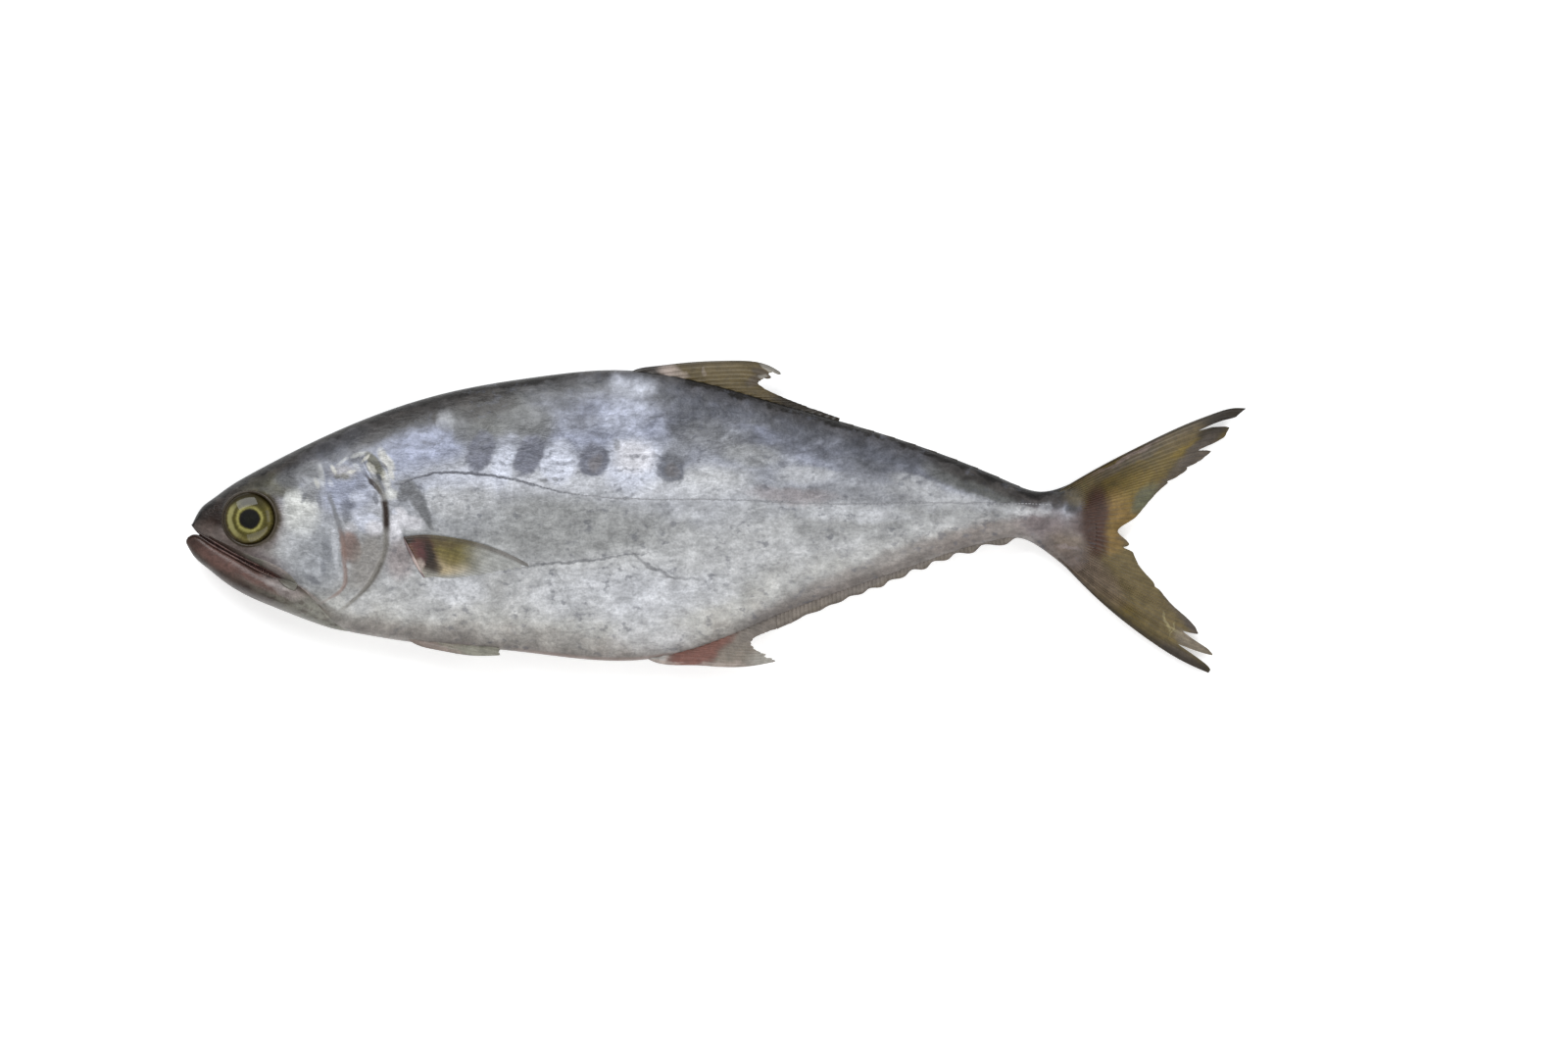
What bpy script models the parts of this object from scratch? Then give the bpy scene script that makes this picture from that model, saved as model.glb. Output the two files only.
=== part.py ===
"""A whole raw queenfish, 450 mm long, lying on its right flank with its left flank up.

The fish is one solid: head, trunk, jaws, gill covers and fins grown together. Its two
eyeballs sit in sockets cut from the head. Metres: x runs back from the jaw tip, y up from
the body's axis to the back, z up from the slab. An empty centres the fish on the origin.
"""

import bpy
import numpy as np
from mathutils import Matrix

TOTAL_LENGTH = 0.450  # jaw tip to the tip of the upper tail lobe
BACK_REACH = 0.0673  # axis to the top of the dorsal fin
BELLY_REACH = 0.0646  # axis to the tip of the lower tail lobe
BODY_WIDTH = 0.031  # across both flanks, before the lower one is pressed flat
PRESS = 0.0014  # how far the lower flank is flattened where it rests
REST_HEIGHT = BODY_WIDTH / 2 - PRESS  # mid plane of the trunk above the slab

SNOUT_X = 0.0025
FLESH_END_X = 0.386  # where the tail root has thinned to a fin
LEFT, RIGHT = 1, -1  # the left flank faces up

TRUNK_STATIONS = 58
TRUNK_SIDES = 36
JAW_STATIONS = 18
JAW_SIDES = 16

# Outline of head and trunk: (x, y).
BACK_LINE = (
    (SNOUT_X, -0.0019), (0.005, 0.0031), (0.010, 0.0080), (0.0174, 0.0134),
    (0.0274, 0.0194), (0.0623, 0.0369), (0.108, 0.0531), (0.150, 0.0606),
    (0.182, 0.0633), (0.208, 0.0606), (0.253, 0.0486), (0.303, 0.0337),
    (0.3487, 0.0160), (0.361, 0.0119), (0.373, 0.0145), (FLESH_END_X, 0.0212),
)
# The upper lip as far as the mouth's corner, then the cheek's edge, then the belly.
UNDER_LINE = (
    (SNOUT_X, -0.0027), (0.0046, -0.0053), (0.0083, -0.0079), (0.0212, -0.0153),
    (0.0369, -0.0232), (0.0623, -0.0412), (0.0747, -0.0483), (0.0955, -0.0517),
    (0.137, -0.0555), (0.180, -0.0598), (0.192, -0.0595), (0.2175, -0.0540),
    (0.2532, -0.0397), (0.303, -0.0216), (0.328, -0.0128), (0.3446, -0.0085),
    (0.3549, -0.0083), (0.362, -0.0120), (0.373, -0.0205), (FLESH_END_X, -0.0325),
)
# Half the thickness across the flanks, as shares of half BODY_WIDTH: (x, share).
GIRTH = (
    (SNOUT_X, 0.13), (0.005, 0.22), (0.012, 0.37), (0.025, 0.58), (0.045, 0.80),
    (0.070, 0.95), (0.095, 1.0), (0.130, 1.0), (0.170, 0.98), (0.210, 0.90),
    (0.250, 0.77), (0.290, 0.60), (0.320, 0.47), (0.345, 0.38), (0.360, 0.32),
    (0.372, 0.22), (FLESH_END_X, 0.075),
)
# Mid plane of the fish above the slab: the tail droops till its fin almost lies down.
MID_HEIGHT = (
    (0.0, REST_HEIGHT - 0.0012), (0.06, REST_HEIGHT), (0.21, REST_HEIGHT),
    (0.29, 0.0126), (0.35, 0.0090), (0.40, 0.0056), (TOTAL_LENGTH, 0.0022),
)

# Lower jaw: its lip, its chin line and its half width.
JAW_END_X = 0.080
LIP_LINE = (
    (0.0, -0.0085), (0.0025, -0.0067), (0.0083, -0.0087), (0.0212, -0.0160),
    (0.0369, -0.0238), (0.050, -0.0275), (0.066, -0.0360), (JAW_END_X, -0.0420),
)
CHIN_LINE = (
    (0.0, -0.0102), (0.0025, -0.0146), (0.0075, -0.0195), (0.0149, -0.0255),
    (0.0374, -0.0372), (0.054, -0.0436), (0.0680, -0.0473), (JAW_END_X, -0.0470),
)
JAW_HALF_WIDTH = (
    (0.0, 0.0014), (0.0025, 0.0030), (0.0149, 0.0066), (0.0374, 0.0107),
    (0.050, 0.0114), (0.060, 0.0098), (JAW_END_X, 0.0030),
)
TONGUE_START_X, TONGUE_END_X = 0.0055, 0.050
TONGUE_HEIGHT, TONGUE_SHARE = 0.006, 0.5  # its width as a share of the jaw's

# Eyes: flattened balls, each in a socket cut a little wider.
EYE_X, EYE_Y = 0.0273, 0.0003
EYE_RADIUS, EYE_HALF_DEPTH = 0.0114, 0.0046
EYE_OFFSET = 0.0067  # eyeball's centre from the mid plane
SOCKET_GAP = 0.0003

# Gill cover: a plate whose hind edge stands proud of the flank behind it.
COVER_EDGE = (
    (0.0731, 0.0299), (0.0785, 0.0199), (0.0832, 0.0108), (0.0848, -0.0020),
    (0.0845, -0.0120), (0.0818, -0.0200), (0.0756, -0.0295), (0.0648, -0.0390),
)
COVER_FRONT_X = 0.058
COVER_PROUD, COVER_SUNK = 0.0013, 0.0005  # above the flank at its hind edge, below it in front
COVER_DEPTH = 0.0025  # how far down into the flank the plate reaches

# Fins. Each is a fan of rays between a base line, a first ray, a last ray and a margin.
PECTORAL_LEAD = (
    (0.0926, -0.0073), (0.1000, -0.0064), (0.1096, -0.0070), (0.1254, -0.0102),
    (0.1378, -0.0149), (0.1482, -0.0203),
)
PECTORAL_BASE = ((0.0926, -0.0073), (0.0971, -0.0155), (0.1013, -0.0245))
PECTORAL_LAST = ((0.1013, -0.0245), (0.1090, -0.0256))
PECTORAL_MARGIN = ((0.1482, -0.0203), (0.1370, -0.0228), (0.1090, -0.0256))
PECTORAL_PROUD, PECTORAL_SUNK = 0.0011, 0.0012

DORSAL_BASE = ((0.1840, 0.0590), (0.230, 0.0510), (0.275, 0.0390))
DORSAL_LEAD = (
    (0.1840, 0.0590), (0.1900, 0.0640), (0.210, 0.0663), (0.2310, BACK_REACH),
    (0.2474, 0.0650), (0.2530, 0.0615),
)
DORSAL_MARGIN = (
    (0.2530, 0.0615), (0.2470, 0.0594), (0.2437, 0.0573), (0.2482, 0.0539),
    (0.2582, 0.0497), (0.2770, 0.0430),
)
DORSAL_LAST = ((0.275, 0.0390), (0.2770, 0.0430))

ANAL_BASE = ((0.1900, -0.0550), (0.222, -0.0460), (0.255, -0.0345))
ANAL_LEAD = (
    (0.1900, -0.0550), (0.1970, -0.0598), (0.215, -0.0617), (0.2262, -0.0624),
    (0.2387, -0.0621), (0.2505, -0.0600),
)
ANAL_MARGIN = (
    (0.2505, -0.0600), (0.2433, -0.0558), (0.2393, -0.0522), (0.2420, -0.0496),
    (0.2490, -0.0468), (0.2570, -0.0437),
)
ANAL_LAST = ((0.255, -0.0345), (0.2570, -0.0437))
FINLETS = 10
FINLETS_START_X, FINLETS_END_X = 0.2535, 0.3535
FINLET_DEPTH, FINLET_TOOTH = 0.0049, 0.0020  # below the belly, and the step at each tip
FINLET_ROOT = 0.0035  # how deep the row is sunk in the belly

PELVIC_BASE = ((0.0900, -0.0470), (0.112, -0.0505))
PELVIC_LEAD = (
    (0.0900, -0.0470), (0.0967, -0.0525), (0.1067, -0.0553), (0.1200, -0.0575),
    (0.1330, -0.0575),
)
PELVIC_MARGIN = ((0.1330, -0.0575), (0.1328, -0.0545))
PELVIC_LAST = ((0.112, -0.0505), (0.1328, -0.0545))
PELVIC_OFFSET = 0.0016  # each blade from the mid plane

TAIL_BASE = ((0.372, 0.0146), (0.372, -0.0205))
TAIL_UPPER_LEAD = (
    (0.372, 0.0146), (0.386, 0.0218), (0.406, 0.0321), (0.4259, 0.0413),
    (0.4359, 0.0451), (0.4440, 0.0473), (TOTAL_LENGTH, 0.0472),
)
TAIL_LOWER_LEAD = (
    (0.372, -0.0205), (0.386, -0.0335), (0.4087, -0.0516), (0.4236, -0.0618),
    (0.4329, -BELLY_REACH),
)
# Trailing edge from the upper tip, round the fork, to the lower tip.
TAIL_MARGIN = (
    (TOTAL_LENGTH, 0.0472), (0.4431, 0.0410), (0.4404, 0.0359), (0.4356, 0.0303),
    (0.4245, 0.0211), (0.413, 0.0126), (0.406, 0.0050), (0.4005, -0.0005),
    (0.3950, -0.0049), (0.3992, -0.0095), (0.4027, -0.0172), (0.4093, -0.0257),
    (0.4193, -0.0374), (0.4285, -0.0472), (0.4296, -0.0512), (0.4349, -0.0574),
    (0.4329, -BELLY_REACH),
)
# Splits in the web: (share of the way along the margin, depth as a share of the ray,
# half width as a share of the margin).
TAIL_SPLITS = (
    (0.050, 0.20, 0.030), (0.1375, 0.135, 0.015), (0.5875, 0.15, 0.0125),
    (0.8875, 0.105, 0.0125), (0.975, 0.205, 0.021),
)
TAIL_RAYS = 40
TAIL_ROOT_THICKNESS, FIN_ROOT_THICKNESS, FIN_EDGE_THICKNESS = 0.0026, 0.0022, 0.0009
RAY_RELIEF = 0.15  # how much thinner the web is between two rays, as a share


def clear_scene():
    for old in list(bpy.data.objects):
        bpy.data.objects.remove(old)


def smooth_line(stations):
    """A natural cubic spline through (x, value) stations, as a function of x."""
    xs, values = np.array(stations, float).T
    gaps = np.diff(xs)
    slopes = np.diff(values) / gaps
    count = len(xs)
    system = np.eye(count)
    wanted = np.zeros(count)
    for i in range(1, count - 1):
        system[i, i - 1 : i + 2] = gaps[i - 1], 2 * (gaps[i - 1] + gaps[i]), gaps[i]
        wanted[i] = 6 * (slopes[i] - slopes[i - 1])
    bends = np.linalg.solve(system, wanted)

    def value_at(x):
        x = np.clip(x, xs[0], xs[-1])
        i = np.clip(np.searchsorted(xs, x) - 1, 0, count - 2)
        after, before = x - xs[i], xs[i + 1] - x
        curved = bends[i] * before**3 + bends[i + 1] * after**3
        level = values[i] - bends[i] * gaps[i] ** 2 / 6
        rise = values[i + 1] - bends[i + 1] * gaps[i] ** 2 / 6
        return (curved / 6 + level * before + rise * after) / gaps[i]

    return value_at


def smooth_path(points):
    """A spline through (x, y) points, as a function of the share of its length."""
    points = np.array(points, float)
    steps = np.linalg.norm(np.diff(points, axis=0), axis=1)
    shares = np.concatenate([[0], np.cumsum(steps)]) / steps.sum()
    across = smooth_line(np.column_stack([shares, points[:, 0]]))
    up = smooth_line(np.column_stack([shares, points[:, 1]]))
    return lambda share: np.stack([across(share), up(share)], axis=-1)


back = smooth_line(BACK_LINE)
under = smooth_line(UNDER_LINE)
girth = smooth_line(GIRTH)
mid_height = smooth_line(MID_HEIGHT)


def section_powers(x):
    """Superellipse powers of the section at x: above, across, and below the middle.

    1 is round, less is blunter. The upper lip is blunt, and the trunk's ridges are keen.
    """
    ease = np.clip(x / 0.09, 0, 1)
    lip = np.clip((0.075 - x) / 0.035, 0, 1)
    above = np.full_like(ease, 1.0)
    across = 0.85 + 0.37 * ease
    below = 1.0 - 0.5 * lip
    below_across = across - 0.35 * lip
    return above, across, below, below_across


def flank(x, y):
    """Half thickness of the body at (x, y), which is 0 outside its outline."""
    top, bottom = back(x), under(x)
    middle, half = (top + bottom) / 2, (top - bottom) / 2
    above, across, below, below_across = section_powers(x)
    level = np.clip((y - middle) / half, -1, 1)
    is_above = level > 0
    lift = np.abs(level) ** (1 / np.where(is_above, above, below))
    power = np.where(is_above, across, below_across)
    return girth(x) * BODY_WIDTH / 2 * np.sqrt(1 - lift**2) ** power


def new_mesh_object(name, points, faces):
    mesh = bpy.data.meshes.new(name)
    mesh.from_pydata([tuple(p) for p in points], [], faces)
    mesh.update()
    made = bpy.data.objects.new(name, mesh)
    bpy.context.scene.collection.objects.link(made)
    return made


def ringed_solid(name, rings):
    """A closed skin over rings of points, with a point at the middle of each end."""
    count, sides, _ = rings.shape
    points = np.concatenate(
        [rings.reshape(-1, 3), [rings[0].mean(axis=0), rings[-1].mean(axis=0)]]
    )
    first, last = count * sides, count * sides + 1
    faces = []
    for j in range(sides):
        k = (j + 1) % sides
        faces.append((first, k, j))
        faces.append((last, (count - 1) * sides + j, (count - 1) * sides + k))
        for i in range(count - 1):
            a, b = i * sides, (i + 1) * sides
            faces.append((a + j, a + k, b + k, b + j))
    return new_mesh_object(name, points, faces)


def station_xs(start, end, count, crowd):
    """Stations from start to end, crowded towards start by the given power."""
    return start + (end - start) * np.linspace(0, 1, count) ** crowd


def ring_angles(sides):
    return np.linspace(0, 2 * np.pi, sides, endpoint=False)


def make_trunk():
    """Head and trunk in one skin, from the snout to the root of the tail fin."""
    xs = station_xs(SNOUT_X, FLESH_END_X, TRUNK_STATIONS, 1.25)[:, None]
    turn = ring_angles(TRUNK_SIDES)[None, :]
    top, bottom = back(xs), under(xs)
    above, across, below, below_across = section_powers(xs)
    is_above = np.cos(turn) > 0
    reach = np.abs(np.cos(turn)) ** np.where(is_above, above, below)
    swell = np.abs(np.sin(turn)) ** np.where(is_above, across, below_across)
    y = (top + bottom) / 2 + (top - bottom) / 2 * np.sign(np.cos(turn)) * reach
    z = mid_height(xs) + girth(xs) * BODY_WIDTH / 2 * np.sign(np.sin(turn)) * swell
    return ringed_solid("fish", np.stack([xs + 0 * y, y, z], axis=-1))


def blunt_and_keen_ring(turn):
    """(height, width) shares round a section that is blunt on top and keen below."""
    on_top = np.cos(turn) > 0
    height = np.sign(np.cos(turn)) * np.abs(np.cos(turn)) ** np.where(on_top, 0.5, 1.0)
    width = np.sign(np.sin(turn)) * np.abs(np.sin(turn)) ** np.where(on_top, 0.6, 0.85)
    return height, width


def make_lower_jaw():
    """The jaw bone with its lip on top, its hind end buried in the throat."""
    xs = station_xs(0, JAW_END_X, JAW_STATIONS, 1.6)[:, None]
    height, width = blunt_and_keen_ring(ring_angles(JAW_SIDES)[None, :])
    lip, chin = smooth_line(LIP_LINE)(xs), smooth_line(CHIN_LINE)(xs)
    y = (lip + chin) / 2 + (lip - chin) / 2 * height
    z = mid_height(xs) + smooth_line(JAW_HALF_WIDTH)(xs) * width
    return ringed_solid("lower_jaw", np.stack([xs + 0 * y, y, z], axis=-1))


def make_tongue():
    """Tongue and palate together, which close the mouth a little way inside its lips."""
    xs = np.linspace(TONGUE_START_X, TONGUE_END_X, 10)[:, None]
    turn = ring_angles(10)[None, :]
    height = TONGUE_HEIGHT / 2 * np.clip((xs - TONGUE_START_X) / 0.004, 0.3, 1)
    slit = (under(xs) + smooth_line(LIP_LINE)(xs)) / 2
    y = slit + height * np.cos(turn)
    z = mid_height(xs) + smooth_line(JAW_HALF_WIDTH)(xs) * TONGUE_SHARE * np.sin(turn)
    return ringed_solid("tongue", np.stack([xs + 0 * y, y, z], axis=-1))


def fan_points(edges, across, along):
    """(x, y) over a fan of rays, from the base line out to the margin.

    Both arguments are grids: across runs from the first ray to the last, and along from
    the base to the margin. The rays are straight, but for the two that edge the fan and
    those near them.
    """
    base, margin, first_ray, last_ray = edges
    spread = 4

    def bow(ray, nearness):
        chord = (1 - along[..., None]) * ray(0.0) + along[..., None] * ray(1.0)
        return (ray(along) - chord) * nearness[..., None] ** spread

    straight = (1 - along[..., None]) * base(across) + along[..., None] * margin(across)
    return straight + bow(first_ray, 1 - across) + bow(last_ray, across)


def fan_grid(rows, columns, crowd=1.0):
    """Shares across the fan and along its rays, crowded towards the margin."""
    along = 1 - (1 - np.linspace(0, 1, columns)) ** crowd
    return np.meshgrid(np.linspace(0, 1, rows), along, indexing="ij")


def two_faced_solid(name, over, beneath):
    """A closed solid between two grids of points of one size."""
    rows, columns, _ = over.shape
    size = rows * columns
    faces = []
    for i in range(rows - 1):
        for j in range(columns - 1):
            a, b = i * columns + j, (i + 1) * columns + j
            faces.append((a, b, b + 1, a + 1))
            faces.append((size + a, size + a + 1, size + b + 1, size + b))
    rim = [(i, 0) for i in range(rows)] + [(rows - 1, j) for j in range(1, columns)]
    rim += [(i, columns - 1) for i in range(rows - 2, -1, -1)]
    rim += [(0, j) for j in range(columns - 2, 0, -1)]
    rim = [i * columns + j for i, j in rim]
    for a, b in zip(rim, rim[1:] + rim[:1]):
        faces.append((b, a, size + a, size + b))
    made = new_mesh_object(name, np.concatenate([over, beneath]).reshape(-1, 3), faces)
    if signed_volume(made) < 0:
        made.data.flip_normals()
    return made


def signed_volume(made):
    made.data.calc_loop_triangles()
    corners = np.array(
        [[made.data.vertices[v].co for v in t.vertices] for t in made.data.loop_triangles]
    )
    return np.linalg.det(corners).sum() / 6


def blade(name, edges, rays, steps, root_thickness, offset=0.0, splits=()):
    """A thin fin near the mid plane, thickest at its root, with a ridge along each ray."""
    across, along = fan_grid(2 * rays + 1, steps + 1, crowd=1.4)
    cut = sum(
        (depth * np.clip(1 - np.abs(across - place) / half_width, 0, 1)
         for place, depth, half_width in splits),
        np.zeros_like(across),
    )
    flat = fan_points(edges, across, along * (1 - cut * along**3))
    web = 1 - RAY_RELIEF * (np.arange(2 * rays + 1) % 2)[:, None]
    half = (root_thickness + (FIN_EDGE_THICKNESS - root_thickness) * along) * web / 2
    z = mid_height(flat[..., 0]) + offset
    return two_faced_solid(
        name, np.dstack([flat, z + half]), np.dstack([flat, z - half])
    )


def flank_plate(name, edges, proud, sunk, side, rows, columns):
    """A plate that follows the flank, proud of the skin outside and buried inside."""
    across, along = fan_grid(rows, columns)
    flat = fan_points(edges, across, along)
    skin = flank(flat[..., 0], flat[..., 1])
    outer = skin + proud(across, along)
    z = mid_height(flat[..., 0])
    return two_faced_solid(
        name,
        np.dstack([flat, z + side * outer]),
        np.dstack([flat, z + side * (skin - sunk)]),
    )


def make_gill_cover(name, side):
    edge = smooth_path(COVER_EDGE)
    top, foot = COVER_EDGE[0], COVER_EDGE[-1]
    front = smooth_path(((COVER_FRONT_X, top[1]), (COVER_FRONT_X - 0.004, foot[1] + 0.006)))
    edges = (
        front, edge,
        smooth_path((front(0.0), top)), smooth_path((front(1.0), foot)),
    )

    def proud(across, along):
        fade = np.sin(np.pi * across) ** 0.5
        return (COVER_PROUD + COVER_SUNK) * fade * along - COVER_SUNK

    return flank_plate(name, edges, proud, COVER_DEPTH, side, 15, 7)


def make_pectoral_fin(name, side):
    edges = (
        smooth_path(PECTORAL_BASE), smooth_path(PECTORAL_MARGIN),
        smooth_path(PECTORAL_LEAD), smooth_path(PECTORAL_LAST),
    )

    def proud(across, along):
        ridge = 1 - 2 * RAY_RELIEF * (np.arange(len(across)) % 2)[:, None]
        return PECTORAL_PROUD * ridge * (1 - 0.45 * along) * (1 - 0.55 * across)

    return flank_plate(name, edges, proud, PECTORAL_SUNK, side, 13, 10)


def finlet_depth(x):
    """Depth of the row of finlets under the belly: each deepens backwards, then steps up.

    The row gets shallower towards the tail, and dies away over the last finlet.
    """
    place = (x - FINLETS_START_X) / (FINLETS_END_X - FINLETS_START_X)
    share = (place * FINLETS) % 1.0
    tip = 0.75
    tooth = np.where(share < tip, share / tip, (1 - share) / (1 - tip))
    fade = np.clip((1 - place) * FINLETS, 0, 1)
    return fade * (FINLET_DEPTH * (1 - 0.65 * place) + FINLET_TOOTH * (tooth - 0.5))


def make_finlets():
    """The low hind part of the anal fin, cut into finlets with steps between them."""
    xs = np.linspace(FINLETS_START_X, FINLETS_END_X, 4 * FINLETS + 1)
    edge = np.maximum(finlet_depth(xs), 0.001)
    depths = np.column_stack([np.full_like(xs, -FINLET_ROOT), 0.8 * edge, edge])
    y = under(xs)[:, None] - depths
    x = xs[:, None] + 0 * y
    half = np.array([FIN_ROOT_THICKNESS, 0.9 * FIN_ROOT_THICKNESS, FIN_EDGE_THICKNESS]) / 2
    z = mid_height(x)
    return two_faced_solid(
        "finlets", np.stack([x, y, z + half], -1), np.stack([x, y, z - half], -1)
    )


def make_tail():
    edges = (
        smooth_path(TAIL_BASE), smooth_path(TAIL_MARGIN),
        smooth_path(TAIL_UPPER_LEAD), smooth_path(TAIL_LOWER_LEAD),
    )
    return blade(
        "tail_fin", edges, TAIL_RAYS, 6, TAIL_ROOT_THICKNESS, splits=TAIL_SPLITS
    )


def make_blade_fins():
    dorsal = (
        smooth_path(DORSAL_BASE), smooth_path(DORSAL_MARGIN),
        smooth_path(DORSAL_LEAD), smooth_path(DORSAL_LAST),
    )
    anal = (
        smooth_path(ANAL_BASE), smooth_path(ANAL_MARGIN),
        smooth_path(ANAL_LEAD), smooth_path(ANAL_LAST),
    )
    pelvic = (
        smooth_path(PELVIC_BASE), smooth_path(PELVIC_MARGIN),
        smooth_path(PELVIC_LEAD), smooth_path(PELVIC_LAST),
    )
    return (
        blade("dorsal_fin", dorsal, 10, 8, FIN_ROOT_THICKNESS),
        blade("anal_fin", anal, 10, 6, FIN_ROOT_THICKNESS),
        blade("left_pelvic_fin", pelvic, 3, 6, FIN_ROOT_THICKNESS, LEFT * PELVIC_OFFSET),
        blade("right_pelvic_fin", pelvic, 3, 6, FIN_ROOT_THICKNESS, RIGHT * PELVIC_OFFSET),
    )


def flattened_ball(name, side, gap, segments, rings):
    """An eyeball, or its socket where there is a gap round it."""
    bpy.ops.mesh.primitive_uv_sphere_add(segments=segments, ring_count=rings)
    made = bpy.context.object
    made.name = name
    radius, depth = EYE_RADIUS + gap, EYE_HALF_DEPTH + gap
    made.data.transform(Matrix.Diagonal((radius, radius, depth, 1.0)))
    made.location = (EYE_X, EYE_Y, float(mid_height(EYE_X)) + side * EYE_OFFSET)
    return made


def make_slab():
    """What the fish lies on, which the pressed flank is cut flat against."""
    depth = 0.02
    bpy.ops.mesh.primitive_cube_add(size=1.0)
    made = bpy.context.object
    made.name = "slab"
    made.data.transform(Matrix.Diagonal((2 * TOTAL_LENGTH, TOTAL_LENGTH, depth, 1.0)))
    made.location = (TOTAL_LENGTH / 2, 0.0, -depth / 2)
    return made


def combine(target, operation, operands):
    """Applies one Boolean of all the operands to the target, then removes them."""
    group = bpy.data.collections.new("operands")
    for operand in operands:
        group.objects.link(operand)
    change = target.modifiers.new("combine", "BOOLEAN")
    change.operation = operation
    change.operand_type = "COLLECTION"
    change.collection = group
    bpy.context.view_layer.update()
    graph = bpy.context.evaluated_depsgraph_get()
    mesh = bpy.data.meshes.new_from_object(target.evaluated_get(graph))
    target.modifiers.clear()
    target.data = mesh
    for operand in operands:
        bpy.data.objects.remove(operand)
    bpy.data.collections.remove(group)


def paint(objects, name, colour, roughness, metallic):
    material = bpy.data.materials.new(name)
    material.use_nodes = True
    shader = material.node_tree.nodes["Principled BSDF"]
    shader.inputs["Base Color"].default_value = (*colour, 1.0)
    shader.inputs["Roughness"].default_value = roughness
    shader.inputs["Metallic"].default_value = metallic
    for made in objects:
        made.data.materials.clear()
        made.data.materials.append(material)


def finish(made, frame):
    made.data.shade_smooth()
    made.data.set_sharp_from_angle(angle=np.radians(45))
    made.parent = frame


def make_fish():
    fish = make_trunk()
    grown_on = [make_lower_jaw(), make_tongue(), make_finlets(), make_tail(), *make_blade_fins()]
    for word, side in (("left", LEFT), ("right", RIGHT)):
        grown_on.append(make_gill_cover(f"{word}_gill_cover", side))
        grown_on.append(make_pectoral_fin(f"{word}_pectoral_fin", side))
    combine(fish, "UNION", grown_on)
    sockets = [flattened_ball("socket", side, SOCKET_GAP, 24, 16) for side in (LEFT, RIGHT)]
    combine(fish, "DIFFERENCE", [*sockets, make_slab()])
    return fish


clear_scene()
fish = make_fish()
eyes = [
    flattened_ball("eye_left", LEFT, 0.0, 24, 16),
    flattened_ball("eye_right", RIGHT, 0.0, 24, 16),
]
paint([fish], "skin", (0.42, 0.43, 0.45), 0.34, 0.3)
paint(eyes, "eye", (0.16, 0.13, 0.07), 0.12, 0.0)

centred = bpy.data.objects.new("centred", None)
centred.location = (-TOTAL_LENGTH / 2, -(BACK_REACH - BELLY_REACH) / 2, 0.0)
bpy.context.scene.collection.objects.link(centred)
for made in (fish, *eyes):
    finish(made, centred)
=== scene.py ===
import bpy
import numpy as np
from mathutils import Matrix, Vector


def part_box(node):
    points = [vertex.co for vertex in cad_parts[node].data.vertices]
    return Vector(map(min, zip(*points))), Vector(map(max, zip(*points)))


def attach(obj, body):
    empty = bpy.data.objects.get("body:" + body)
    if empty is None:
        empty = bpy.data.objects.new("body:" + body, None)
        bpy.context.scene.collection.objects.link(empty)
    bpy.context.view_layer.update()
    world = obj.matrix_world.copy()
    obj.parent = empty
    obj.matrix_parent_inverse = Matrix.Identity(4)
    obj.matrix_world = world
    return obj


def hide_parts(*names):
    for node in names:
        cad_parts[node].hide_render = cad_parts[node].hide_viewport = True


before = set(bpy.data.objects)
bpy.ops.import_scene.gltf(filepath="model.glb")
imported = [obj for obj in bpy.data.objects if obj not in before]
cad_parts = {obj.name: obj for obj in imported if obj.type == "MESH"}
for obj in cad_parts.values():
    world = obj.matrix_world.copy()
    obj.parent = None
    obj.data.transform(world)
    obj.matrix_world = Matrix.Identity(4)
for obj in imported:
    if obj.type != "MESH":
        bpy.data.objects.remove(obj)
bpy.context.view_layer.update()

# Skin of head and trunk
# One closed skin over the flesh of a fish that lies on its right flank, flattened from side
# to side, with a keen back and belly. Sizes are in metres: x back from the jaw tip, y up to
# the back, z up from what it lies on.
MM = 0.001
BACK_REACH = 67.3 * MM
fish_low, fish_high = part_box("fish")
TO_ROW = np.array((fish_low.x, fish_high.y - BACK_REACH, fish_low.z))
LEFT, RIGHT = 1, -1
SIDES = (("left", LEFT), ("right", RIGHT))
BODY_WIDTH = 31.0 * MM
REST_HEIGHT = BODY_WIDTH / 2 - 1.4 * MM
SNOUT_X, HEAD_END_X, FLESH_END_X = 2.5 * MM, 92.0 * MM, 386.0 * MM
HEAD_STATIONS, TRUNK_STATIONS, SKIN_LEVELS = 176, 275, 110
BACK_LINE = (
    (0.0025, -0.0019), (0.005, 0.0031), (0.010, 0.0080), (0.0174, 0.0134),
    (0.0274, 0.0194), (0.0623, 0.0369), (0.108, 0.0531), (0.150, 0.0606),
    (0.182, 0.0633), (0.208, 0.0606), (0.253, 0.0486), (0.303, 0.0337),
    (0.3487, 0.0160), (0.361, 0.0119), (0.373, 0.0145), (0.386, 0.0212),
)
UNDER_LINE = (
    (0.0025, -0.0027), (0.0046, -0.0053), (0.0083, -0.0079), (0.0212, -0.0153),
    (0.0369, -0.0232), (0.046, -0.0303), (0.054, -0.0388), (0.0623, -0.0450),
    (0.0747, -0.0486), (0.0955, -0.0519),
    (0.137, -0.0555), (0.180, -0.0598), (0.192, -0.0595), (0.2175, -0.0540),
    (0.2532, -0.0397), (0.303, -0.0216), (0.328, -0.0128), (0.3446, -0.0085),
    (0.3549, -0.0083), (0.362, -0.0120), (0.373, -0.0205), (0.386, -0.0325),
)
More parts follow.
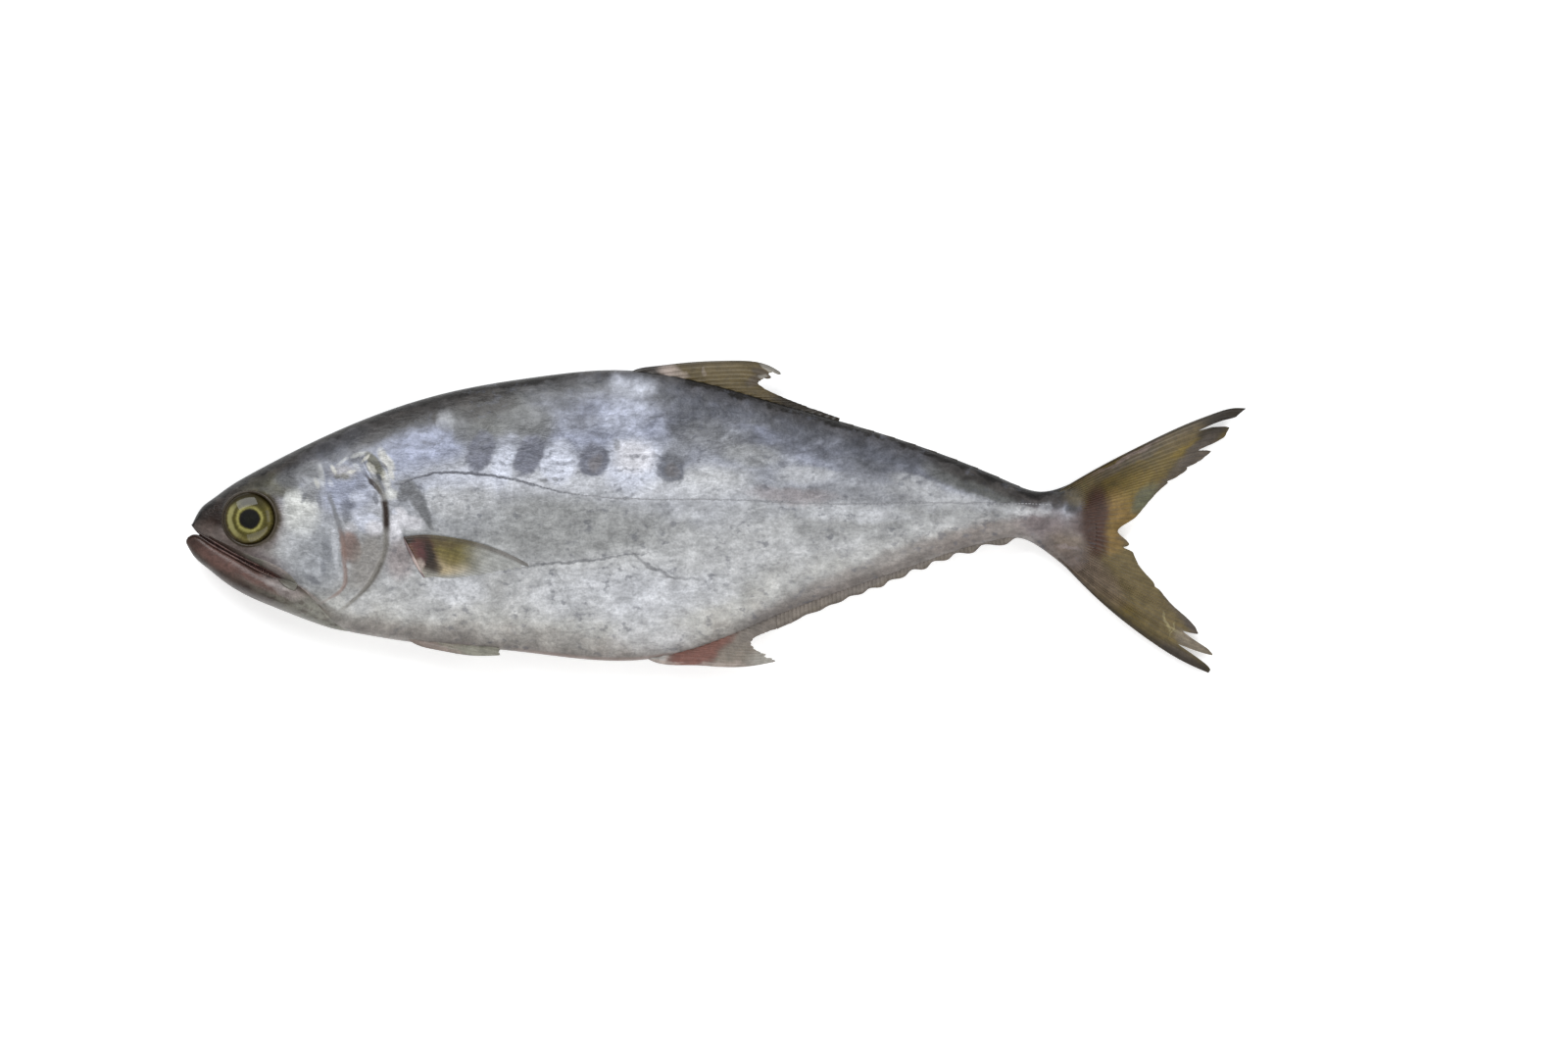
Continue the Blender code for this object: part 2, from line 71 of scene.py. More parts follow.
GIRTH = (
    (0.0025, 0.13), (0.005, 0.22), (0.012, 0.37), (0.025, 0.58), (0.045, 0.80),
    (0.070, 0.95), (0.095, 1.0), (0.130, 1.0), (0.170, 0.98), (0.210, 0.90),
    (0.250, 0.77), (0.290, 0.60), (0.320, 0.47), (0.345, 0.38), (0.360, 0.32),
    (0.372, 0.20), (0.386, 0.05),
)
MID_HEIGHT = (
    (0.0, REST_HEIGHT - 0.0012), (0.06, REST_HEIGHT), (0.21, REST_HEIGHT),
    (0.29, 0.0126), (0.35, 0.0090), (0.40, 0.0056), (0.45, 0.0022),
)
EYE_X, EYE_Y, EYE_RADIUS = 27.3 * MM, 0.3 * MM, 11.4 * MM
LATERAL_LINE = (
    (0.0800, 0.0100), (0.0893, 0.0137), (0.0976, 0.0174), (0.1059, 0.0195),
    (0.1162, 0.0199), (0.1287, 0.0187), (0.1453, 0.0154), (0.1577, 0.0120),
    (0.1702, 0.0100), (0.191, 0.0087), (0.2325, 0.0083), (0.274, 0.0066),
    (0.3155, 0.0071), (0.3612, 0.0062), (0.386, 0.0050),
)
COVER_EDGE = (
    (0.0731, 0.0299), (0.0785, 0.0199), (0.0832, 0.0108), (0.0848, -0.0020),
    (0.0845, -0.0120), (0.0818, -0.0200), (0.0756, -0.0295), (0.0648, -0.0390),
)
CHEEK_EDGE = (
    (0.0590, 0.0180), (0.0602, 0.0125), (0.0648, -0.0008), (0.0673, -0.0125),
    (0.0677, -0.0212), (0.0652, -0.0307), (0.0544, -0.0370),
)


def smooth_line(stations):
    """A natural cubic spline through (x, value) stations, as a function of x."""
    xs, values = np.array(sorted(stations), float).T
    gaps = np.diff(xs)
    slopes = np.diff(values) / gaps
    count = len(xs)
    system = np.eye(count)
    wanted = np.zeros(count)
    for i in range(1, count - 1):
        system[i, i - 1 : i + 2] = gaps[i - 1], 2 * (gaps[i - 1] + gaps[i]), gaps[i]
        wanted[i] = 6 * (slopes[i] - slopes[i - 1])
    bends = np.linalg.solve(system, wanted)

    def value_at(x):
        x = np.clip(x, xs[0], xs[-1])
        i = np.clip(np.searchsorted(xs, x) - 1, 0, count - 2)
        after, before = x - xs[i], xs[i + 1] - x
        curved = bends[i] * before**3 + bends[i + 1] * after**3
        level = values[i] - bends[i] * gaps[i] ** 2 / 6
        rise = values[i + 1] - bends[i + 1] * gaps[i] ** 2 / 6
        return (curved / 6 + level * before + rise * after) / gaps[i]

    return value_at


def line_by_height(points):
    """The same for an edge that runs up and down: its x as a function of y."""
    return smooth_line([(y, x) for x, y in points])


back = smooth_line(BACK_LINE)
under = smooth_line(UNDER_LINE)
girth = smooth_line(GIRTH)
mid_height = smooth_line(MID_HEIGHT)
lateral_line = smooth_line(LATERAL_LINE)
cover_edge = line_by_height(COVER_EDGE)
cheek_edge = line_by_height(CHEEK_EDGE)


def fade(value, low, high):
    """0 at low, 1 at high, eased between them."""
    share = np.clip((value - low) / (high - low), 0, 1)
    return share * share * (3 - 2 * share)


def level_at(x, y):
    """Where y lies on the section at x: -1 at the belly's edge, 1 at the back's."""
    top, bottom = back(x), under(x)
    return np.clip((2 * y - top - bottom) / (top - bottom), -1, 1)


def flank(x, y):
    """Half the body's thickness at (x, y), which is 0 outside its outline."""
    ease = np.clip(x / 0.09, 0, 1)
    lip = np.clip((0.075 - x) / 0.035, 0, 1)
    across = 0.85 + 0.37 * ease
    level = level_at(x, y)
    is_above = level > 0
    lift = np.abs(level) ** (1 / np.where(is_above, 1.0, 1.0 - 0.5 * lip))
    power = np.where(is_above, across, across - 0.35 * lip)
    return girth(x) * BODY_WIDTH / 2 * np.sqrt(1 - lift**2) ** power


def relief(x, y, side):
    """How far the skin stands above (or dips below) the smooth flank at (x, y)."""
    from_eye = np.hypot(x - EYE_X, y - EYE_Y)
    socket = -4.6 * MM * fade(from_eye, 11.7 * MM, 10.7 * MM)
    orbit = 0.5 * MM * np.exp(-(((from_eye - 13.5 * MM) / (2.4 * MM)) ** 2))
    behind_cheek = x - cheek_edge(y)
    on_cheek = fade(y, -36 * MM, -30 * MM) * fade(y, 16 * MM, 8 * MM)
    cheek = 0.5 * MM * on_cheek * fade(behind_cheek, 0.5 * MM, -0.7 * MM)
    cheek *= fade(behind_cheek, -16 * MM, -5 * MM)
    behind_cover = x - cover_edge(y)
    on_cover = fade(y, -36 * MM, -28 * MM) * fade(y, 27 * MM, 20 * MM)
    slit = -0.9 * MM * on_cover * np.exp(-(((behind_cover - 0.8 * MM) / (1.6 * MM)) ** 2))
    seat_x, seat_y = (x - 94.5 * MM) / (7 * MM), (y + 17 * MM) / (9 * MM)
    fin_seat = 0.7 * MM * np.clip(1 - seat_x**2 - seat_y**2, 0, 1)
    on_trunk = fade(x, 85 * MM, 110 * MM) * fade(x, 372 * MM, 340 * MM)
    bands = x - 0.45 * np.abs(y - lateral_line(x))
    muscle = 0.035 * MM * on_trunk * np.sin(2 * np.pi * bands / (7.5 * MM))
    dents = 0.10 * np.sin(61 * x + 97 * y + side) + 0.09 * np.sin(141 * x - 83 * y + 2.2 * side)
    dents += 0.05 * np.sin(233 * x + 171 * y) + 0.04 * np.sin(310 * x - 265 * y + side)
    total = socket + orbit + cheek + slit + fin_seat + muscle + dents * MM
    return total * (1 - level_at(x, y) ** 6)


def skin_height(x, y, side):
    """z of the finished skin on one side of the fish."""
    half = np.maximum(flank(x, y) + relief(x, y, side), 0)
    half *= 1 - 0.6 * fade(x, 372 * MM, FLESH_END_X)
    return np.maximum(mid_height(x) + side * half, 0)


def marks(x, y):
    """Measures of the pattern, which the skin's paint reads at every point."""
    return {
        "level": level_at(x, y),
        "under_back": back(x) - y,
        "over_belly": y - under(x),
        "above_lateral_line": y - lateral_line(x),
        "behind_cover": x - cover_edge(y),
        "behind_cheek": x - cheek_edge(y),
    }


def add_piece(name, points, faces, material, attributes=None, edges=()):
    """A smooth mesh in the row's frame, from points measured on the fish."""
    mesh = bpy.data.meshes.new(name)
    placed = np.asarray(points, float).reshape(-1, 3) + TO_ROW
    mesh.from_pydata(placed, edges, faces)
    for key, values in (attributes or {}).items():
        attribute = mesh.attributes.new(key, "FLOAT", "POINT")
        attribute.data.foreach_set("value", np.asarray(values, np.float32).ravel())
    mesh.materials.append(material)
    mesh.shade_smooth()
    mesh.update()
    piece = bpy.data.objects.new(name, mesh)
    bpy.context.scene.collection.objects.link(piece)
    return piece


def face_outwards(piece):
    """Turns a closed mesh right side out."""
    mesh = piece.data
    mesh.calc_loop_triangles()
    corners = np.zeros(3 * len(mesh.loop_triangles), np.int32)
    mesh.loop_triangles.foreach_get("vertices", corners)
    points = np.zeros(3 * len(mesh.vertices))
    mesh.vertices.foreach_get("co", points)
    triangles = points.reshape(-1, 3)[corners].reshape(-1, 3, 3)
    if np.linalg.det(triangles).sum() < 0:
        mesh.flip_normals()
    return piece


def add_tube(name, rings, material, measure=None):
    """A closed skin over rings of points, with a point at each end's middle."""
    count, sides, _ = rings.shape
    first, last = count * sides, count * sides + 1
    turn = np.arange(sides)
    after = (turn + 1) % sides
    row = np.arange(count - 1)[:, None] * sides
    walls = np.stack([row + turn, row + after, row + sides + after, row + sides + turn], -1)
    caps = [(first, int(b), int(a)) for a, b in zip(turn, after)]
    base = (count - 1) * sides
    caps += [(last, int(base + a), int(base + b)) for a, b in zip(turn, after)]
    faces = [tuple(face) for face in walls.reshape(-1, 4).tolist()] + caps
    middles = [rings[0].mean(axis=0), rings[-1].mean(axis=0)]
    points = np.concatenate([rings.reshape(-1, 3), middles])
    measures = measure(points) if measure else None
    return face_outwards(add_piece(name, points, faces, material, measures))


def keep_on_fish(pieces):
    """All pieces but the eyes belong to the one solid of the fish."""
    for piece in pieces:
        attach(piece, "root")
        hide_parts("fish")


DAYLIGHT = 1.18


def pigment(red, green, blue):
    """A colour as seen in daylight a little above white, 0 to 255, as the shader takes it."""
    seen = np.array((red, green, blue)) / 255
    linear = np.where(seen < 0.04045, seen / 12.92, ((seen + 0.055) / 1.055) ** 2.4)
    return (*np.maximum(linear / DAYLIGHT - 0.006, 0.002).tolist(), 1.0)


class Paint:
    """One material in the making: each method adds a node and hands back its output."""

    def __init__(self, name, roughness, coat=0.0, coat_roughness=0.1, specular=0.3):
        self.material = bpy.data.materials.new(name)
        self.material.use_nodes = True
        self.tree = self.material.node_tree
        self.shader = self.tree.nodes["Principled BSDF"]
        self.feed(self.shader.inputs["Roughness"], roughness)
        self.feed(self.shader.inputs["Specular IOR Level"], specular)
        self.feed(self.shader.inputs["Coat Weight"], coat)
        self.feed(self.shader.inputs["Coat Roughness"], coat_roughness)

    def feed(self, socket, value):
        if isinstance(value, bpy.types.NodeSocket):
            self.tree.links.new(value, socket)
        else:
            socket.default_value = value

    def add(self, kind, inputs, output=0, **settings):
        node = self.tree.nodes.new("ShaderNode" + kind)
        for name, value in settings.items():
            setattr(node, name, value)
        for key, value in inputs.items():
            self.feed(node.inputs[key], value)
        return node.outputs[output]

    def place(self):
        """The point on the fish, flattened on its mid plane, and as it is."""
        here = self.add("TexCoord", {}, output="Object")
        solid = self.add("VectorMath", {0: here, 1: TO_ROW.tolist()}, operation="SUBTRACT")
        flat = self.add("VectorMath", {0: solid, 1: (1, 1, 0)}, operation="MULTIPLY")
        return flat, solid

    def measure(self, name):
        return self.add("Attribute", {}, output="Fac", attribute_name=name)

    def math(self, operation, a, b=0.0):
        return self.add("Math", {0: a, 1: b}, operation=operation)

    def step(self, value, low, high, start=0.0, end=1.0):
        ends = {"From Min": low, "From Max": high, "To Min": start, "To Max": end}
        return self.add("MapRange", {0: value, **ends}, interpolation_type="SMOOTHSTEP")

    def noise(self, place, size, detail=3.0, stretch=(1, 1, 1), distortion=0.0, output=0):
        spread = [1 / (size * part) for part in stretch]
        scaled = self.add("VectorMath", {0: place, 1: spread}, operation="MULTIPLY")
        ways = {"Scale": 1.0, "Detail": detail, "Distortion": distortion}
        return self.add("TexNoise", {"Vector": scaled, **ways}, output=output)

    def wander(self, place, size, reach, detail=2.0):
        """The place pushed about by noise, so that what is drawn there has uneven edges."""
        drift = self.noise(place, size, detail=detail, output=1)
        centred = self.add("VectorMath", {0: drift, 1: (0.5, 0.5, 0.5)}, operation="SUBTRACT")
        reached = self.add("VectorMath", {0: centred, 1: (reach, reach, 0)}, operation="MULTIPLY")
        return self.add("VectorMath", {0: place, 1: reached}, operation="ADD")

    def oval(self, place, centre, radii, turn=0.0, soft=0.4):
        """1 inside an oval, 0 outside, eased over the soft share of its radius."""
        cosine, sine = np.cos(np.radians(turn)), np.sin(np.radians(turn))
        away = self.add("VectorMath", {0: place, 1: (*centre, 0)}, operation="SUBTRACT")
        reach = 0.0
        for x, y, radius in ((cosine, sine, radii[0]), (-sine, cosine, radii[1])):
            way = (x / radius, y / radius, 0)
            part = self.add("VectorMath", {0: away, 1: way}, output="Value", operation="DOT_PRODUCT")
            reach = self.add("Math", {0: part, 1: part, 2: reach}, operation="MULTIPLY_ADD")
        return self.step(reach, (1 + soft) ** 2, (1 - soft) ** 2)

    def blend(self, share, under_colour, over_colour):
        colours = {0: share, 6: under_colour, 7: over_colour}
        return self.add("Mix", colours, output=2, data_type="RGBA")

    def dim(self, colour, value):
        if not isinstance(colour, bpy.types.NodeSocket):
            colour = colour[:3]
        return self.add("VectorMath", {0: colour, "Scale": value}, operation="SCALE")

    def dabs(self, colour, place, rows, palette):
        """Lays ovals of colour over one another: (colour, centre, radii, turn, soft, share)."""
        for hue, centre, radii, turn, soft, share in rows:
            centre = [part * MM for part in centre]
            radii = [part * MM for part in radii]
            spot = self.oval(place, centre, radii, turn, soft)
            colour = self.blend(self.math("MULTIPLY", spot, share), colour, palette[hue])
        return colour

    def ramp(self, value, stops):
        node = self.tree.nodes.new("ShaderNodeValToRGB")
        self.feed(node.inputs[0], value)
        elements = node.color_ramp.elements
        while len(elements) < len(stops):
            elements.new(0.5)
        for element, (position, colour) in zip(elements, stops):
            element.position, element.color = position, colour
        return node.outputs[0]

    def finish(self, colour, bumps=()):
        """Sets the colour, and the height of each bump: (height, depth in metres)."""
        self.feed(self.shader.inputs["Base Color"], colour)
        normal = None
        for height, depth in bumps:
            inputs = {"Height": height, "Distance": depth}
            if normal is not None:
                inputs["Normal"] = normal
            normal = self.add("Bump", inputs)
        if normal is not None:
            self.feed(self.shader.inputs["Normal"], normal)
        return self.material


# The lilac colour is a painted reflection of the soft light on the upper flank and the gill cover. The white
# and cheek colours are painted highlights.
SKIN_COLOURS = {
    "black": pigment(34, 32, 31), "coal": pigment(62, 58, 56), "slate": pigment(90, 92, 101),
    "stone": pigment(102, 103, 101), "ash": pigment(116, 117, 120), "spot": pigment(118, 120, 132),
    "blue": pigment(150, 156, 180), "lilac_reflection": pigment(210, 214, 228),
    "silver": pigment(206, 208, 214), "flank": pigment(160, 161, 161),
    "pearl": pigment(202, 203, 205), "warm": pigment(128, 121, 117),
    "ring": pigment(72, 64, 40),
    "snout": pigment(50, 38, 33), "taupe": pigment(104, 92, 87), "mauve": pigment(122, 112, 113),
    "cheek": pigment(212, 213, 210), "steel": pigment(166, 169, 175),
    "olive": pigment(82, 80, 64), "cream": pigment(212, 210, 200),
    "gill": pigment(136, 114, 106), "sage": pigment(146, 141, 136),
    "rose": pigment(150, 138, 138), "throat": pigment(118, 114, 106),
    "white": pigment(226, 225, 231), "maroon": pigment(78, 58, 50), "bark": pigment(118, 106, 94),
    "moss": pigment(98, 88, 64), "blush": pigment(176, 160, 156),
}
# Dabs of colour on the skin, in mm: (colour, centre, radii, turn, soft, share). The lilac and white dabs and
# the larger cheek dabs are painted reflections and highlights.
TRUNK_DABS = (
    ("blue", (176, 41), (24, 11), -4, 0.5, 0.60),
    ("blue", (100, 30), (17, 7), 14, 0.6, 0.70),
    ("ash", (152, 53), (28, 6), 4, 0.5, 0.50),
    ("stone", (128, 46), (15, 10), 8, 0.4, 0.95),
    ("ash", (120, 38), (6, 6.5), 0, 0.5, 0.80),
    ("ash", (147, 39), (6, 6), -20, 0.6, 0.60),
    ("coal", (104, 47), (16, 5), 17, 0.5, 0.75),
    ("coal", (105.7, 46), (2.2, 5.5), 10, 0.3, 0.85),
    ("coal", (84, 40), (17, 4.5), 27, 0.5, 0.85),
    ("silver", (110.6, 42.0), (3, 3.6), 0, 0.6, 0.35),
    ("lilac_reflection", (187, 46), (8, 9), -10, 0.6, 0.30),
    ("coal", (128, 48.5), (11, 7), 8, 0.5, 0.90),
    ("stone", (130, 40), (8, 4), 0, 0.6, 0.60),
    ("stone", (146, 42), (9, 5), 0, 0.6, 0.80),
    ("lilac_reflection", (190, 57), (9, 4.5), -8, 0.6, 0.60),
    ("ash", (154, 42), (18, 5), 0, 0.6, 0.45),
    ("ash", (174, 39), (10, 4), 0, 0.6, 0.30),
    ("silver", (160, 15), (50, 6.5), -5, 0.5, 0.60),
    ("lilac_reflection", (134.5, 22), (4.2, 8), -10, 0.4, 0.85),
    ("lilac_reflection", (158, 24), (7.5, 8), 0, 0.4, 0.95),
    ("lilac_reflection", (190, 23), (11, 10), 0, 0.5, 1.00),
    ("lilac_reflection", (116, 17), (14, 4), 4, 0.6, 0.60),
    ("slate", (222, 49), (20, 9), -8, 0.25, 0.92),
    ("slate", (212, 43), (9, 9), 0, 0.2, 0.85),
    ("blue", (241, 36), (14, 3), -10, 0.6, 0.50),
    ("blue", (268, 27), (12, 4), -16, 0.6, 0.50),
    ("slate", (246, 40), (26, 10), -14, 0.5, 0.28),
    ("slate", (276, 33), (26, 8), -18, 0.5, 0.75),
    ("slate", (302, 25), (20, 8), -20, 0.5, 0.80),
    ("stone", (328, 17), (14, 4), -24, 0.5, 0.85),
    ("stone", (342, 11.5), (15, 4.2), -20, 0.5, 0.95),
    ("coal", (340, 16), (22, 3), -24, 0.5, 0.80),
    ("ash", (224, 35), (14, 6), -6, 0.6, 0.75),
    ("ash", (252, 27), (26, 6), -10, 0.6, 0.25),
    ("flank", (240, 27), (10, 4), -6, 0.6, 0.60),
    ("ash", (288, 20), (18, 4.5), -10, 0.6, 0.30),
    ("silver", (276, 16), (9, 3), -8, 0.6, 0.20),
    ("ash", (285, 11), (26, 3), -3, 0.6, 0.50),
    ("pearl", (262, 19), (10, 3), -4, 0.6, 0.50),
    ("pearl", (310, 15), (10, 3), -14, 0.6, 0.50),
    ("pearl", (222, 16), (13, 6), 0, 0.6, 0.80),
    ("rose", (256, 10), (15, 3), -3, 0.6, 0.50),
    ("pearl", (320, 9), (20, 2.6), -10, 0.6, 0.40),
    ("flank", (158, -3), (38, 11), -4, 0.5, 0.90),
    ("flank", (192, -6), (18, 10), 0, 0.6, 0.30),
    ("pearl", (180, -18), (18, 5), 10, 0.6, 0.60),
    ("flank", (290, -4), (40, 5), 0, 0.7, 0.40),
    ("steel", (112, 2), (20, 8), -10, 0.6, 0.30),
    ("pearl", (106, -31), (20, 9), 0, 0.5, 0.60),
    ("pearl", (150, -33), (16, 8), 0, 0.5, 0.60),
    ("silver", (176, -32), (24, 9), 0, 0.6, 0.60),
    ("pearl", (115, 8), (12, 6), 0, 0.6, 0.60),
    ("silver", (197, -50), (14, 6), 0, 0.6, 0.50),
    ("silver", (206, 12), (12, 4), 0, 0.6, 0.55),
    ("pearl", (226, -14), (32, 10), 12, 0.5, 0.60),
    ("silver", (224, 6), (14, 8), 0, 0.6, 0.45),
    ("pearl", (262, 3), (24, 4), -3, 0.6, 0.25),
    ("silver", (285, 2), (20, 2.6), -3, 0.6, 0.50),
    ("silver", (196, -33), (15, 10), 10, 0.6, 0.70),
    ("silver", (220, -30), (12, 6), 10, 0.6, 0.60),
    ("silver", (115, -30), (10, 6), 0, 0.6, 0.60),
    # A painted highlight on the upper flank.
    ("white", (190, 26), (7, 6), 0, 0.6, 0.80),
    ("ash", (260, -32), (22, 5), 26, 0.6, 0.40),
    ("warm", (286, -25), (50, 5.4), 23, 0.5, 0.75),
    ("warm", (340, -6.4), (26, 4.0), 10, 0.5, 0.95),
    ("taupe", (300, -20), (44, 1.6), 22, 0.6, 0.20),
    ("sage", (150, -52), (46, 5), -5, 0.6, 0.50),
    ("sage", (108, -50), (22, 4), -8, 0.6, 0.60),
    ("rose", (112, -54), (24, 1.8), -5, 0.6, 0.90),
    ("throat", (132, -55.5), (8, 2), -4, 0.5, 0.80),
    ("spot", (124.8, 28.4), (5.4, 9.0), -8, 0.20, 0.98),
    ("spot", (145.4, 27.8), (5.9, 9.0), -18, 0.18, 0.98),
    ("spot", (173.0, 25.0), (6.1, 7.0), 0, 0.18, 0.95),
    ("warm", (173.4, 23.6), (2.4, 2.8), 0, 0.70, 0.45),
    ("slate", (204.9, 21.6), (6.4, 6.6), 0, 0.18, 0.80),
    ("ash", (208, 28), (5, 4), 30, 0.6, 0.50),
    ("warm", (205.4, 20.6), (2.6, 2.6), 0, 0.70, 0.40),
    ("ash", (168, -17.4), (24, 0.5), 6, 0.6, 0.70),
    ("pearl", (170, -18.8), (22, 0.8), 6, 0.6, 0.50),
    ("ash", (198, -20.6), (9, 0.7), -31, 0.6, 0.60),
    ("ash", (210, -25), (7, 0.6), -2, 0.6, 0.50),
    ("ash", (151.4, 16.6), (1.6, 0.8), -10, 0.5, 0.70),
    ("ash", (156.7, 17.2), (1.2, 1.0), 0, 0.5, 0.60),
    ("ash", (183, 31), (1.6, 2.4), 20, 0.5, 0.60),
    ("mauve", (367, -5), (13, 8), -24, 0.6, 0.95),
    ("bark", (377, -16), (12, 8), -42, 0.6, 0.95),
    ("taupe", (369, -15), (9, 3), -42, 0.6, 0.60),
    ("taupe", (381, -21), (9, 6), -46, 0.7, 0.85),
    ("coal", (366, 11.5), (12, 4.5), 0, 0.5, 0.90),
    ("rose", (373.5, -12), (3.6, 0.8), -12, 0.6, 0.50),
    # A painted highlight along the tail root.
    ("pearl", (353, 4.2), (11, 1.8), -6, 0.6, 0.60),
    ("silver", (364, 5.4), (2.4, 2.2), 0, 0.5, 0.45),
    ("coal", (369.4, 6.8), (2.6, 2.2), 0, 0.5, 0.75),
    ("slate", (379.4, 6.6), (4.4, 3.6), 0, 0.6, 0.85),
    ("coal", (375.6, 6.6), (2.4, 2.8), 0, 0.5, 0.80),
    ("mauve", (380, -1), (3, 4), 0, 0.6, 0.60),
    ("moss", (379, 13), (7, 5), 20, 0.5, 0.85),
    ("pearl", (368.5, 13.2), (0.8, 1.3), -20, 0.5, 0.60),
    ("pearl", (371.6, 14.0), (0.6, 1.2), -20, 0.5, 0.60),
    ("maroon", (384, 0), (5.5, 12), -2, 0.35, 0.95),
    ("maroon", (378.0, -0.5), (3.0, 4), 0, 0.6, 0.60),
)
